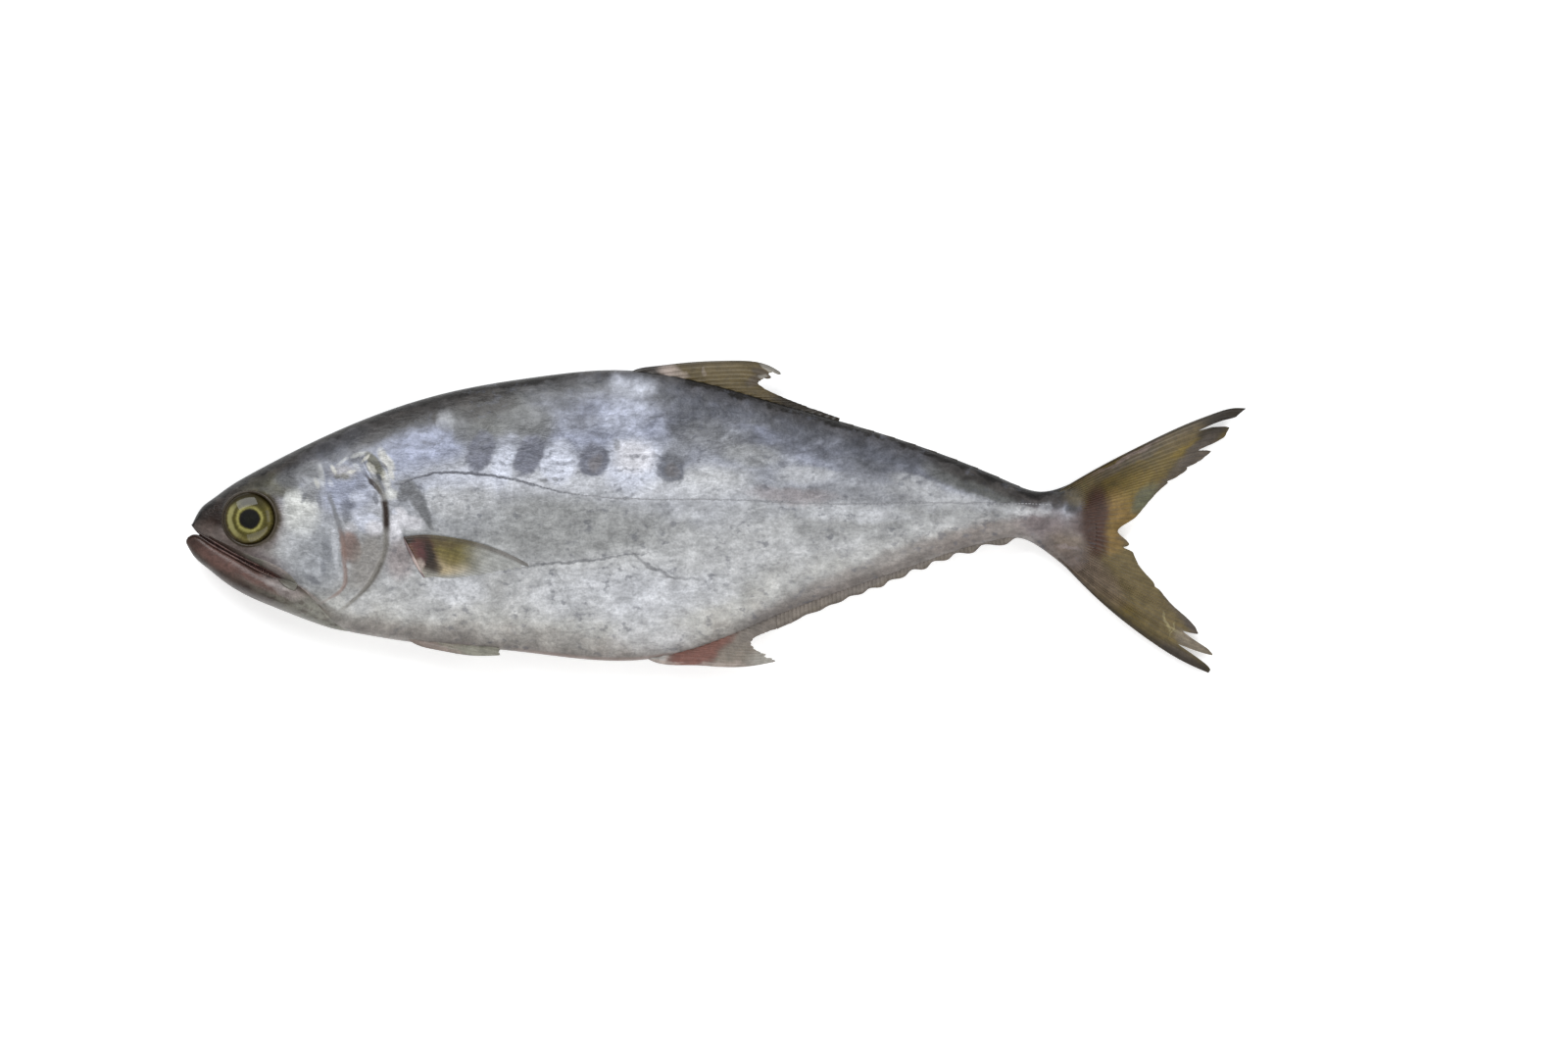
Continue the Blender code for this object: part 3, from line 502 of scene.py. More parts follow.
# The white dabs below are painted highlights round and behind the gill cover. The larger cheek dabs are
# painted highlights on the cheek and the lower head. The smallest cheek dabs are pale flecks of the skin
# itself.
HEAD_DABS = (
    ("taupe", (28.5, -1), (14.5, 14), 0, 0.25, 0.85),
    ("snout", (8, 2), (13, 9), 36, 0.4, 0.98),
    ("snout", (30, 16), (28, 10), 33, 0.3, 0.98),
    ("taupe", (18, -11), (16, 4.5), -30, 0.5, 0.90),
    ("mauve", (37, -22), (11, 5.5), -30, 0.5, 0.85),
    ("taupe", (38, -31), (12, 5), -30, 0.5, 0.85),
    ("coal", (50, 28), (22, 6), 30, 0.4, 0.85),
    ("slate", (62, 32), (14, 5), 27, 0.5, 0.70),
    ("olive", (40, 14.5), (8, 4.5), -20, 0.5, 0.80),
    ("slate", (45, 18), (7, 4), 24, 0.5, 0.60),
    ("steel", (54, -16), (12, 12), 0, 0.6, 0.80),
    ("pearl", (47, -9), (6, 8), 0, 0.6, 0.50),
    ("cheek", (49.5, 2.5), (6.5, 8), 4, 0.5, 0.98),
    ("cheek", (45.5, 8), (3.2, 3.6), 30, 0.5, 0.90),
    ("ash", (53.0, 12.5), (3.6, 4.6), -10, 0.4, 0.80),
    ("slate", (58.3, 26.9), (2.6, 1.8), 0, 0.5, 0.85),
    ("cheek", (57.6, 18.5), (1.2, 4), 8, 0.6, 0.65),
    ("cheek", (61.5, 15.5), (1.0, 1.6), 20, 0.6, 0.70),
    ("cheek", (66.5, 24.5), (2.4, 0.7), 30, 0.6, 0.60),
    ("cheek", (73.5, 27.5), (2.6, 0.8), 20, 0.6, 0.60),
    ("cheek", (72.8, 22.0), (0.9, 2.0), 40, 0.6, 0.60),
    ("blue", (68, 13), (9, 9), 0, 0.6, 0.60),
    ("sage", (67, 20.0), (5, 2.6), 0, 0.6, 0.60),
    ("slate", (63.4, 28.4), (2.6, 1.0), 20, 0.5, 0.50),
    ("slate", (71, 24.6), (2.2, 0.8), 36, 0.5, 0.55),
    ("olive", (67.6, 18.5), (1.8, 1.1), -10, 0.5, 0.60),
    ("slate", (69.8, 6.4), (2.8, 2.2), 0, 0.5, 0.55),
    ("slate", (68.6, 1.2), (1.8, 2.6), 0, 0.5, 0.45),
    ("slate", (75, 14.0), (2.2, 1.2), 0, 0.5, 0.50),
    ("lilac_reflection", (77, -1), (6, 4), -20, 0.4, 0.85),
    ("white", (80.5, -4), (3, 3), 0, 0.5, 0.85),
    ("gill", (70.2, -11.5), (4.2, 6.5), 16, 0.3, 0.85),
    ("sage", (77, -18), (6, 12), -20, 0.5, 0.75),
    ("silver", (63.6, -12), (1.1, 8), 4, 0.5, 0.70),
    ("slate", (60.2, -12), (1.8, 5), 4, 0.5, 0.45),
    ("olive", (79.5, 25.0), (2.0, 4.2), 44, 0.4, 0.90),
    ("olive", (82.4, 20.0), (1.8, 3.6), 22, 0.4, 0.90),
    ("cream", (78.8, 21.8), (1.3, 2.6), 34, 0.5, 0.80),
    ("snout", (80.2, 14.4), (0.9, 4.6), 40, 0.4, 0.90),
    ("cream", (85.2, 25), (1.8, 4.6), 34, 0.6, 0.70),
    ("cream", (85.2, 16.4), (1.6, 3.6), 14, 0.6, 0.50),
    ("cheek", (87.4, 10.4), (2.6, 2.0), 0, 0.6, 0.85),
    ("white", (88.6, -4.6), (3, 6), 0, 0.4, 0.90),
    ("ash", (94.2, 13.6), (3.4, 3.6), 30, 0.3, 0.90),
    ("ash", (92.2, 9.6), (2.6, 2.2), 0, 0.4, 0.80),
    ("ash", (98.4, 8.6), (3.2, 5.4), 28, 0.3, 0.92),
    ("ash", (101.8, 2.0), (2.2, 4.6), 20, 0.35, 0.85),
    ("white", (90.8, 2.0), (2.8, 2.8), 0, 0.4, 0.90),
    ("white", (96.0, -1.4), (4.4, 2.6), -10, 0.5, 0.85),
    ("rose", (91, -17), (5, 7), 0, 0.6, 0.70),
    ("throat", (52, -37), (14, 4.5), -28, 0.6, 0.75),
    ("cheek", (62, -35.5), (4.5, 1.0), -34, 0.6, 0.55),
    ("coal", (28, 10.5), (12, 4), 6, 0.5, 0.70),
    ("ring", (28.0, 0.8), (12.2, 12.2), 0, 0.12, 0.90),
    ("olive", (30, 14.5), (11, 3.0), -8, 0.5, 0.60),
    ("cheek", (54.5, -33.5), (4.5, 0.6), -40, 0.6, 0.50),
    ("blush", (51, -30.5), (6, 0.7), -38, 0.6, 0.60),
    ("blush", (47, -33.5), (6, 0.6), -34, 0.6, 0.55),
    ("slate", (54, -25.5), (3.4, 1.2), -30, 0.6, 0.50),
    ("slate", (58.6, -20), (1.0, 3.4), 4, 0.6, 0.50),
    ("slate", (50.5, 9.2), (0.8, 2.2), -20, 0.6, 0.55),
    ("slate", (57.0, 7.6), (0.8, 3.0), 8, 0.6, 0.55),
    ("cream", (55.6, 15.6), (0.8, 2.4), 20, 0.6, 0.60),
    ("slate", (60.0, 21.6), (1.2, 2.4), 24, 0.6, 0.55),
    ("cream", (62.8, 21.0), (0.7, 2.0), 30, 0.6, 0.60),
    ("olive", (64.4, 18.2), (1.2, 0.8), 0, 0.6, 0.60),
    ("slate", (66.2, 27.4), (3.0, 0.8), 24, 0.6, 0.50),
    ("cream", (70.6, 20.2), (1.6, 0.6), 10, 0.6, 0.60),
    ("slate", (72.0, 17.6), (1.6, 0.7), -20, 0.6, 0.50),
    ("cream", (76.2, 25.8), (2.0, 0.6), 44, 0.6, 0.60),
    ("slate", (75.6, 20.0), (0.8, 1.6), 30, 0.6, 0.55),
    ("lilac_reflection", (73.0, 9.4), (3.0, 2.2), 0, 0.6, 0.60),
    ("white", (70.5, -3.4), (2.0, 1.6), 0, 0.6, 0.55),
    ("slate", (80.8, 8.6), (0.9, 2.2), 10, 0.6, 0.55),
    ("slate", (82.2, 17.8), (0.8, 1.6), 30, 0.5, 0.65),
    ("coal", (84.4, 22.4), (0.8, 1.8), 34, 0.5, 0.60),
    ("cream", (87.4, 19.0), (0.9, 2.0), 30, 0.6, 0.55),
    ("ash", (90.6, 15.6), (1.6, 0.8), 20, 0.6, 0.55),
    ("stone", (104.0, -3.0), (0.7, 2.0), 30, 0.6, 0.45),
    ("lilac_reflection", (88.6, 3.2), (1.0, 1.0), 0, 0.5, 0.60),
    ("ash", (52, 20), (6, 3.4), 30, 0.5, 0.70),
    ("steel", (55, -10), (9, 10), 0, 0.6, 0.40),
    ("ash", (55.5, 13.5), (3.0, 6.5), 4, 0.7, 0.45),
    ("bark", (46, -34.5), (14, 4), -28, 0.6, 0.55),
    ("white", (80.3, -3), (3.5, 2.6), 0, 0.5, 0.60),
    ("sage", (86, -48), (18, 3.6), -12, 0.6, 0.80),
    ("pearl", (74, -35), (5, 4), -30, 0.6, 0.60),
)


def skin_zones(paint, flat):
    """Dark back, silver flank and pale belly, with every dab laid on them, painted reflections and highlights
    among them.
    """
    rough_edges = paint.wander(paint.wander(flat, 13 * MM, 5 * MM), 3 * MM, 2.4 * MM)
    fine_edges = paint.wander(paint.wander(flat, 6 * MM, 1.6 * MM), 1.6 * MM, 1.0 * MM)
    level = paint.measure("level")
    waver = paint.step(paint.noise(flat, 6 * MM, detail=4.0), 0.2, 0.8, -1.6 * MM, 1.6 * MM)
    uneven = paint.noise(flat, 11 * MM, detail=4.0, distortion=0.4)
    drifted = paint.math("ADD", level, paint.step(uneven, 0.3, 0.7, -0.08, 0.08))
    height = paint.add("Math", {0: drifted, 1: 0.5, 2: 0.5}, operation="MULTIPLY_ADD")
    colour = paint.ramp(height, (
        (0.0, pigment(150, 145, 140)), (0.06, pigment(176, 174, 170)),
        (0.14, pigment(184, 184, 182)), (0.28, pigment(186, 187, 189)),
        (0.42, pigment(170, 171, 172)), (0.58, pigment(176, 178, 185)),
        (0.72, pigment(158, 161, 172)), (0.86, pigment(126, 128, 136)),
        (0.95, pigment(92, 93, 98)), (1.0, pigment(76, 75, 76)),
    ))
    colour = paint.dabs(colour, rough_edges, TRUNK_DABS, SKIN_COLOURS)
    colour = paint.dabs(colour, fine_edges, HEAD_DABS, SKIN_COLOURS)
    belly_edge = paint.math("ADD", paint.measure("over_belly"), waver)
    colour = paint.blend(paint.step(belly_edge, 6 * MM, 0, 0, 0.35), colour, SKIN_COLOURS["warm"])
    back_edge = paint.math("ADD", paint.measure("under_back"), waver)
    nape = paint.oval(flat, (186 * MM, 62 * MM), (20 * MM, 12 * MM), 0, 0.5)
    back_edge = paint.math("ADD", back_edge, paint.math("MULTIPLY", nape, 4.0 * MM))
    colour = paint.blend(paint.step(back_edge, 11 * MM, 2 * MM, 0, 0.60), colour, SKIN_COLOURS["coal"])
    colour = paint.blend(paint.step(back_edge, 3.6 * MM, 1.8 * MM, 0, 0.97), colour, SKIN_COLOURS["black"])
    return colour, level


def skin_texture(paint, colour, flat, solid, flat_x, level):
    """Clouds, wisps, flecks, wrinkles and grain, with dark specks in clusters on the trunk; the wrinkles
    carry painted shade in their hollows.
    """
    clouds = paint.noise(flat, 12 * MM, detail=4.0, stretch=(1.3, 1, 1))
    wisps = paint.noise(flat, 4.5 * MM, detail=5.0, stretch=(1.3, 1, 1))
    flecks = paint.noise(flat, 1.7 * MM, detail=3.0, stretch=(1.2, 1, 1))
    grain = paint.noise(solid, 0.9 * MM, detail=4.0)
    creases = paint.noise(flat, 2.8 * MM, detail=4.0, stretch=(2.4, 1, 1), distortion=1.0)
    # The creases are darker where their bump dips and lighter where it rises: painted shade and light on the
    # wrinkles.
    for pattern, darkest, lightest in (
        (clouds, 0.85, 1.13), (wisps, 0.84, 1.15), (flecks, 0.88, 1.10), (creases, 0.88, 1.10),
        (grain, 0.90, 1.10),
    ):
        colour = paint.dim(colour, paint.step(pattern, 0.30, 0.70, darkest, lightest))
    specks = paint.step(paint.noise(flat, 2.8 * MM, detail=3.0, stretch=(1.4, 1, 1)), 0.52, 0.68)
    in_clusters = paint.step(paint.noise(flat, 15 * MM, detail=2.0), 0.44, 0.60, 0.0, 0.55)
    in_clusters = paint.math("MULTIPLY", in_clusters, paint.step(flat_x, 75 * MM, 95 * MM))
    colour = paint.blend(paint.math("MULTIPLY", specks, in_clusters), colour, SKIN_COLOURS["slate"])
    mottle = paint.noise(flat, 5.5 * MM, detail=4.0, stretch=(1.5, 1, 1), distortion=0.5)
    on_back = paint.step(level, 0.30, 0.65, 0.0, 1.0)
    mottled = paint.dim(colour, paint.step(mottle, 0.36, 0.64, 0.78, 1.28))
    colour = paint.blend(on_back, colour, mottled)
    return colour, grain, creases


def skin_lines(paint, colour, flat, flat_x, flat_y):
    """Thin lines along the flank, the cheek and the belly, and a dark line at the gill slit that is partly
    its own dark colour and partly painted shade under the cover's edge.
    """

    def thin_line(gap, half_width, share, hue, place, window):
        """A line where the gap is nil, which comes and goes between four places in mm."""
        nonlocal colour
        away = paint.math("ABSOLUTE", gap)
        mask = paint.math("MULTIPLY", paint.step(away, 1.6 * half_width, 0.3 * half_width), share)
        start, full, ebb, end = (part * MM for part in window)
        mask = paint.math("MULTIPLY", mask, paint.step(place, start, full))
        mask = paint.math("MULTIPLY", mask, paint.step(place, end, ebb))
        colour = paint.blend(mask, colour, SKIN_COLOURS[hue])

    quiver = paint.step(paint.noise(flat, 4 * MM), 0.2, 0.8, -0.5 * MM, 0.5 * MM)
    over_line = paint.math("ADD", paint.measure("above_lateral_line"), quiver)
    thin_line(over_line, 0.55 * MM, 0.85, "slate", flat_x, (90, 104, 130, 175))
    thin_line(over_line, 0.35 * MM, 0.40, "ash", flat_x, (130, 160, 350, 375))
    behind_cheek = paint.math("ADD", paint.measure("behind_cheek"), quiver)
    thin_line(behind_cheek, 1.1 * MM, 0.75, "ash", flat_y, (-12, -6, 8, 14))
    thin_line(behind_cheek, 1.1 * MM, 0.75, "gill", flat_y, (-38, -30, -8, -2))
    behind_cover = paint.measure("behind_cover")
    over_belly = paint.math("SUBTRACT", paint.measure("over_belly"), 0.5 * MM)
    thin_line(over_belly, 0.9 * MM, 0.60, "gill", flat_x, (132, 150, 200, 210))
    # Painted shade: a dark line in the gill slit, just behind and under the gill cover's free edge.
    slit = paint.math("SUBTRACT", behind_cover, 0.4 * MM)
    thin_line(slit, 1.3 * MM, 0.70, "throat", flat_y, (-42, -34, 14, 24))
    thin_line(slit, 1.3 * MM, 0.97, "snout", flat_y, (-6, -2, 7, 9))
    return colour


def skin_paint():
    """Wet skin: black along the back, slate and silver below, with a row of grey spots."""
    paint = Paint("wet silver skin", 0.36, coat=0.15, coat_roughness=0.18)
    flat, solid = paint.place()
    colour, level = skin_zones(paint, flat)
    flat_x = paint.add("SeparateXYZ", {0: flat}, output=0)
    flat_y = paint.add("SeparateXYZ", {0: flat}, output=1)
    colour, grain, creases = skin_texture(paint, colour, flat, solid, flat_x, level)
    colour = skin_lines(paint, colour, flat, flat_x, flat_y)
    scales = paint.noise(solid, 0.55 * MM, detail=2.0, stretch=(2.2, 1, 1))
    soft_dents = paint.noise(solid, 5 * MM, detail=3.0)
    bumps = ((soft_dents, 0.5 * MM), (creases, 0.45 * MM), (scales, 0.10 * MM))
    paint.feed(paint.shader.inputs["Metallic"], paint.step(level, 0.95, 0.6, 0.0, 0.12))
    paint.feed(paint.shader.inputs["Roughness"], paint.step(grain, 0.2, 0.8, 0.30, 0.46))
    return paint.finish(colour, bumps)


skin_material = skin_paint()


def make_skin():
    """Head and trunk in one closed skin, finer at the head, from snout to tail root."""
    head = np.linspace(SNOUT_X, HEAD_END_X, HEAD_STATIONS, endpoint=False)
    trunk = np.linspace(HEAD_END_X, FLESH_END_X, TRUNK_STATIONS)
    xs = np.concatenate([head, trunk])[:, None]
    share = np.arange(SKIN_LEVELS) / SKIN_LEVELS
    falling = 0.5 * np.cos(np.pi * share) + 0.5 * (1 - 2 * share)
    level = np.concatenate([falling, -falling])[None, :]
    side = np.concatenate([np.full(SKIN_LEVELS, LEFT), np.full(SKIN_LEVELS, RIGHT)])[None, :]
    x = xs - 10 * MM * level**2 * fade(xs, 364 * MM, FLESH_END_X)
    y = (back(x) + under(x)) / 2 + (back(x) - under(x)) / 2 * level
    rings = np.stack([x, y, skin_height(x, y, side)], axis=-1)
    return add_tube("skin", rings, skin_material, lambda points: marks(points[:, 0], points[:, 1]))


keep_on_fish([make_skin()])


# Gill covers
# A thin bony plate on each side, grown to the head in front. Its hind edge is free, stands
# a little proud, and has a soft rim over the dark gill slit.
COVER_FRONT_X = 58.0 * MM
COVER_PROUD, COVER_SUNK, COVER_DEPTH = 1.2 * MM, 0.6 * MM, 2.5 * MM


def smooth_path(points):
    """A spline through (x, y) points, as a function of the share of its length."""
    points = np.array(points, float)
    steps = np.linalg.norm(np.diff(points, axis=0), axis=1)
    shares = np.concatenate([[0], np.cumsum(steps)]) / steps.sum()
    across = smooth_line(np.column_stack([shares, points[:, 0]]).tolist())
    up = smooth_line(np.column_stack([shares, points[:, 1]]).tolist())
    return lambda share: np.stack([across(share), up(share)], axis=-1)


def fan_points(edges, across, along):
    """(x, y) over a fan of rays: across from the first to the last, along to the margin."""
    base, margin, first_ray, last_ray = edges
    spread = 4

    def bow(ray, nearness):
        chord = (1 - along[..., None]) * ray(0.0) + along[..., None] * ray(1.0)
        return (ray(along) - chord) * nearness[..., None] ** spread

    straight = (1 - along[..., None]) * base(across) + along[..., None] * margin(across)
    return straight + bow(first_ray, 1 - across) + bow(last_ray, across)


def two_faced_faces(rows, columns):
    """Faces of a closed sheet between two grids of points of one size."""
    size = rows * columns
    a = (np.arange(rows - 1)[:, None] * columns + np.arange(columns - 1)).ravel()
    b = a + columns
    faces = np.stack([a, b, b + 1, a + 1], -1).tolist()
    faces += np.stack([size + a, size + a + 1, size + b + 1, size + b], -1).tolist()
    rim = [(i, 0) for i in range(rows)] + [(rows - 1, j) for j in range(1, columns)]
    rim += [(i, columns - 1) for i in range(rows - 2, -1, -1)]
    rim += [(0, j) for j in range(columns - 2, 0, -1)]
    rim = [i * columns + j for i, j in rim]
    faces += [(b, a, size + a, size + b) for a, b in zip(rim, rim[1:] + rim[:1])]
    return faces


def add_sheet(name, over, beneath, material, attributes):
    """A closed sheet between two grids of points, with the same measures on both."""
    rows, columns, _ = over.shape
    doubled = {key: np.concatenate([v.ravel(), v.ravel()]) for key, v in attributes.items()}
    points = np.concatenate([over.reshape(-1, 3), beneath.reshape(-1, 3)])
    faces = two_faced_faces(rows, columns)
    return face_outwards(add_piece(name, points, faces, material, doubled))


def fan_grid(rows, columns, crowd=1.0):
    along = 1 - (1 - np.linspace(0, 1, columns)) ** crowd
    return np.meshgrid(np.linspace(0, 1, rows), along, indexing="ij")


def make_gill_cover(word, side):
    edge = smooth_path(COVER_EDGE)
    top, foot = COVER_EDGE[0], COVER_EDGE[-1]
    front = smooth_path(((COVER_FRONT_X, top[1]), (COVER_FRONT_X - 4 * MM, foot[1] + 6 * MM)))
    edges = (front, edge, smooth_path((front(0.0), top)), smooth_path((front(1.0), foot)))
    across, along = fan_grid(150, 96, crowd=1.5)
    flat = fan_points(edges, across, along)
    x, y = flat[..., 0], flat[..., 1]
    lift = np.sin(np.pi * across) ** 0.5 * along
    rim = 0.25 * MM * np.exp(-(((along - 0.93) / 0.04) ** 2)) * np.sin(np.pi * across)
    fall = -0.45 * MM * fade(along, 0.965, 1.0)
    struts = 0.07 * MM * np.sin(34 * across + 5 * along) * fade(along, 0.3, 0.6)
    half = flank(x, y) + relief(x, y, side) * (1 - fade(along, 0.2, 0.6))
    outer = half + (COVER_PROUD + COVER_SUNK) * lift - COVER_SUNK + rim + fall + struts
    z = mid_height(x)
    floor = 0.1 * MM
    over = np.dstack([flat, np.maximum(z + side * outer, floor)])
    beneath = np.dstack([flat, np.maximum(z + side * (half - COVER_DEPTH), floor)])
    if side == RIGHT:
        beneath[..., 2] = np.maximum(beneath[..., 2], over[..., 2] + 0.5 * MM)
    return add_sheet(f"{word}_gill_cover", over, beneath, skin_material, marks(x, y))


keep_on_fish([make_gill_cover(word, side) for word, side in SIDES])


# Lower jaw and mouth
# The jaw bone under its thin pink-brown skin, longer than the snout. The mouth is a narrow
# slit between rolled lips, closed inside by the tongue and the palate, with fine teeth.
JAW_END_X = 80.0 * MM
LIP_LINE = (
    (0.0, -0.0085), (0.0025, -0.0067), (0.0083, -0.0087), (0.0212, -0.0160),
    (0.0369, -0.0238), (0.050, -0.0275), (0.066, -0.0360), (0.080, -0.0420),
)
CHIN_LINE = (
    (0.0, -0.0102), (0.0025, -0.0146), (0.0075, -0.0195), (0.0149, -0.0255),
    (0.0374, -0.0372), (0.054, -0.0436), (0.0680, -0.0473), (0.080, -0.0470),
)
JAW_HALF_WIDTH = (
    (0.0, 0.0014), (0.0025, 0.0030), (0.0149, 0.0066), (0.0374, 0.0107),
    (0.048, 0.0106), (0.056, 0.0082), (0.064, 0.0048), (0.080, 0.0010),
)
MOUTH_CORNER_X = 40.0 * MM
TONGUE_START_X, TONGUE_END_X = 5.5 * MM, 50.0 * MM
TEETH_FROM_TO_X = (4.0 * MM, 36.0 * MM)
TOOTH_SPACING, TOOTH_LENGTH = 1.1 * MM, 0.4 * MM
lip_line, chin_line = smooth_line(LIP_LINE), smooth_line(CHIN_LINE)
jaw_half_width = smooth_line(JAW_HALF_WIDTH)

JAW_COLOURS = {
    "snout": pigment(64, 50, 45), "pink": pigment(104, 78, 72),
    "brown": pigment(84, 74, 68), "throat": pigment(108, 105, 96),
    "pale": pigment(150, 140, 137), "grey": pigment(128, 127, 118),
}
JAW_DABS = (
    ("pink", (12, -14), (13, 4), -36, 0.6, 0.90),
    ("throat", (52, -40), (20, 6), -26, 0.6, 0.85),
    ("pink", (30, -24), (10, 2.6), -32, 0.6, 0.80),
    ("pale", (42, -29), (9, 2.2), -32, 0.6, 0.80),
    ("snout", (26, -31), (14, 2.6), -30, 0.6, 0.60),
    ("snout", (2, -10), (4, 4), -20, 0.6, 0.70),
    ("grey", (64, -43), (16, 5), -24, 0.6, 0.95),
)


def jaw_paint():
    """Thin wet skin over bone, brown underneath and pink towards the lip."""
    paint = Paint("jaw skin", 0.38, coat=0.15, coat_roughness=0.16)
    flat, solid = paint.place()
    rough_edges = paint.wander(flat, 8 * MM, 4 * MM)
    colour = paint.dabs(JAW_COLOURS["brown"], rough_edges, JAW_DABS, JAW_COLOURS)
    blotches = paint.noise(solid, 4 * MM, detail=4.0, distortion=0.5)
    colour = paint.blend(paint.step(blotches, 0.5, 0.66, 0, 0.45), colour, JAW_COLOURS["snout"])
    streaks = paint.noise(rough_edges, 3 * MM, detail=4.0, stretch=(1.8, 1, 1))
    colour = paint.dim(colour, paint.step(streaks, 0.35, 0.65, 0.82, 1.2))
    grain = paint.noise(solid, 0.7 * MM, detail=3.0)
    colour = paint.dim(colour, paint.step(grain, 0.25, 0.75, 0.85, 1.15))
    return paint.finish(colour, ((blotches, 0.4 * MM), (grain, 0.10 * MM)))


def lip_paint():
    """Wet pink-brown lip, with painted shade in the hollows of its folds."""
    paint = Paint("lip", 0.36, coat=0.15, coat_roughness=0.15)
    flat, solid = paint.place()
    folds = paint.noise(solid, 1.2 * MM, detail=3.0, stretch=(3, 1, 1))
    # Painted shade: the lip is darker where the folds' bump dips.
    colour = paint.blend(paint.step(folds, 0.35, 0.65), pigment(66, 46, 42), pigment(104, 78, 72))
    snout = paint.oval(flat, (4 * MM, -4 * MM), (9 * MM, 6 * MM), 0, 0.5)
    colour = paint.blend(snout, colour, pigment(58, 45, 40))
    return paint.finish(colour, ((folds, 0.2 * MM),))


def mouth_paint():
    """Dark wet flesh inside the mouth."""
    paint = Paint("mouth flesh", 0.25, coat=0.5, coat_roughness=0.1)
    _, solid = paint.place()
    folds = paint.noise(solid, 1.5 * MM, detail=3.0)
    # Painted shade: the flesh is darker where the folds' bump dips.
    colour = paint.blend(paint.step(folds, 0.3, 0.7), pigment(44, 26, 24), pigment(76, 44, 40))
    return paint.finish(colour, ((folds, 0.3 * MM),))


def make_jaw():
    xs = (JAW_END_X * np.linspace(0, 1, 190) ** 1.5)[:, None]
    turn = np.linspace(0, 2 * np.pi, 120, endpoint=False)[None, :]
    on_top = np.cos(turn) > 0
    height = np.sign(np.cos(turn)) * np.abs(np.cos(turn)) ** np.where(on_top, 0.5, 1.0)
    width = np.sign(np.sin(turn)) * np.abs(np.sin(turn)) ** np.where(on_top, 0.6, 0.85)
    lip, chin = lip_line(xs), chin_line(xs)
    y = (lip + chin) / 2 + (lip - chin) / 2 * height
    bone = 1 + 0.05 * np.cos(3 * turn) * fade(xs, 0.01, 0.03)
    z = mid_height(xs) + jaw_half_width(xs) * width * bone
    return add_tube("lower_jaw", np.stack([xs + 0 * y, y, z], axis=-1), jaw_paint())


def make_tongue():
    xs = np.linspace(TONGUE_START_X, TONGUE_END_X, 60)[:, None]
    turn = np.linspace(0, 2 * np.pi, 40, endpoint=False)[None, :]
    height = 3 * MM * np.clip((xs - TONGUE_START_X) / (4 * MM), 0.3, 1)
    slit = (under(xs) + lip_line(xs)) / 2
    y = slit + height * np.cos(turn)
    z = mid_height(xs) + jaw_half_width(xs) * 0.55 * np.sin(turn)
    return add_tube("tongue_and_palate", np.stack([xs + 0 * y, y, z], axis=-1), mouth_paint())


def new_tree(name, sizes):
    """An empty Geometry Nodes tree with a geometry input and the named sizes."""
    tree = bpy.data.node_groups.new(name, "GeometryNodeTree")
    tree.interface.new_socket("Geometry", in_out="INPUT", socket_type="NodeSocketGeometry")
    for size, kind in sizes:
        tree.interface.new_socket(size, in_out="INPUT", socket_type=f"NodeSocket{kind}")
    tree.interface.new_socket("Geometry", in_out="OUTPUT", socket_type="NodeSocketGeometry")
    return tree


def add_step(tree, kind, inputs, output=0, **settings):
    """Adds one node, fed with values or with other nodes' outputs."""
    step = tree.nodes.new(kind)
    for name, value in settings.items():
        setattr(step, name, value)
    for key, value in inputs.items():
        if isinstance(value, bpy.types.NodeSocket):
            tree.links.new(value, step.inputs[key])
        else:
            step.inputs[key].default_value = value
    return step.outputs[output]


def end_tree(tree, shape, material):
    """Every tree ends the same way: smooth faces, real geometry, the material."""
    shape = add_step(tree, "GeometryNodeSetShadeSmooth", {"Geometry": shape})
    shape = add_step(tree, "GeometryNodeRealizeInstances", {"Geometry": shape})
    shape = add_step(tree, "GeometryNodeSetMaterial", {"Geometry": shape, "Material": material})
    end = tree.nodes.new("NodeGroupOutput")
    tree.links.new(shape, end.inputs[0])


def rod_tree(material):
    """Round rods along the guide's edges, as thick as its radius attribute says."""
    tree = new_tree("rods along lines", (("Sides", "Int"), ("Thickness", "Float")))
    start = tree.nodes.new("NodeGroupInput")
    radius = add_step(
        tree, "GeometryNodeInputNamedAttribute", {"Name": "radius"}, data_type="FLOAT"
    )
    lines = add_step(tree, "GeometryNodeMeshToCurve", {"Mesh": start.outputs["Geometry"]})
    ring = add_step(
        tree, "GeometryNodeCurvePrimitiveCircle",
        {"Resolution": start.outputs["Sides"], "Radius": start.outputs["Thickness"]},
    )
    rods = add_step(
        tree, "GeometryNodeCurveToMesh",
        {"Curve": lines, "Profile Curve": ring, "Scale": radius, "Fill Caps": True},
    )
    end_tree(tree, rods, material)
    return tree


def grow_along(name, lines, material, tree, sizes, measures=None):
    """Runs a tree on lines of points, and keeps the result as a plain mesh."""
    edges, start = [], 0
    for line in lines:
        edges += [(start + i, start + i + 1) for i in range(len(line) - 1)]
        start += len(line)
    guide = add_piece(name + "_guide", np.concatenate(lines), (), material, measures, edges)
    modifier = guide.modifiers.new("grow", "NODES")
    modifier.node_group = tree
    for item in tree.interface.items_tree:
        if item.in_out == "INPUT" and item.name in sizes:
            modifier[item.identifier] = sizes[item.name]
    bpy.context.view_layer.update()
    graph = bpy.context.evaluated_depsgraph_get()
    mesh = bpy.data.meshes.new_from_object(guide.evaluated_get(graph))
    bpy.data.objects.remove(guide)
    mesh.name = name
    piece = bpy.data.objects.new(name, mesh)
    bpy.context.scene.collection.objects.link(piece)
    return piece


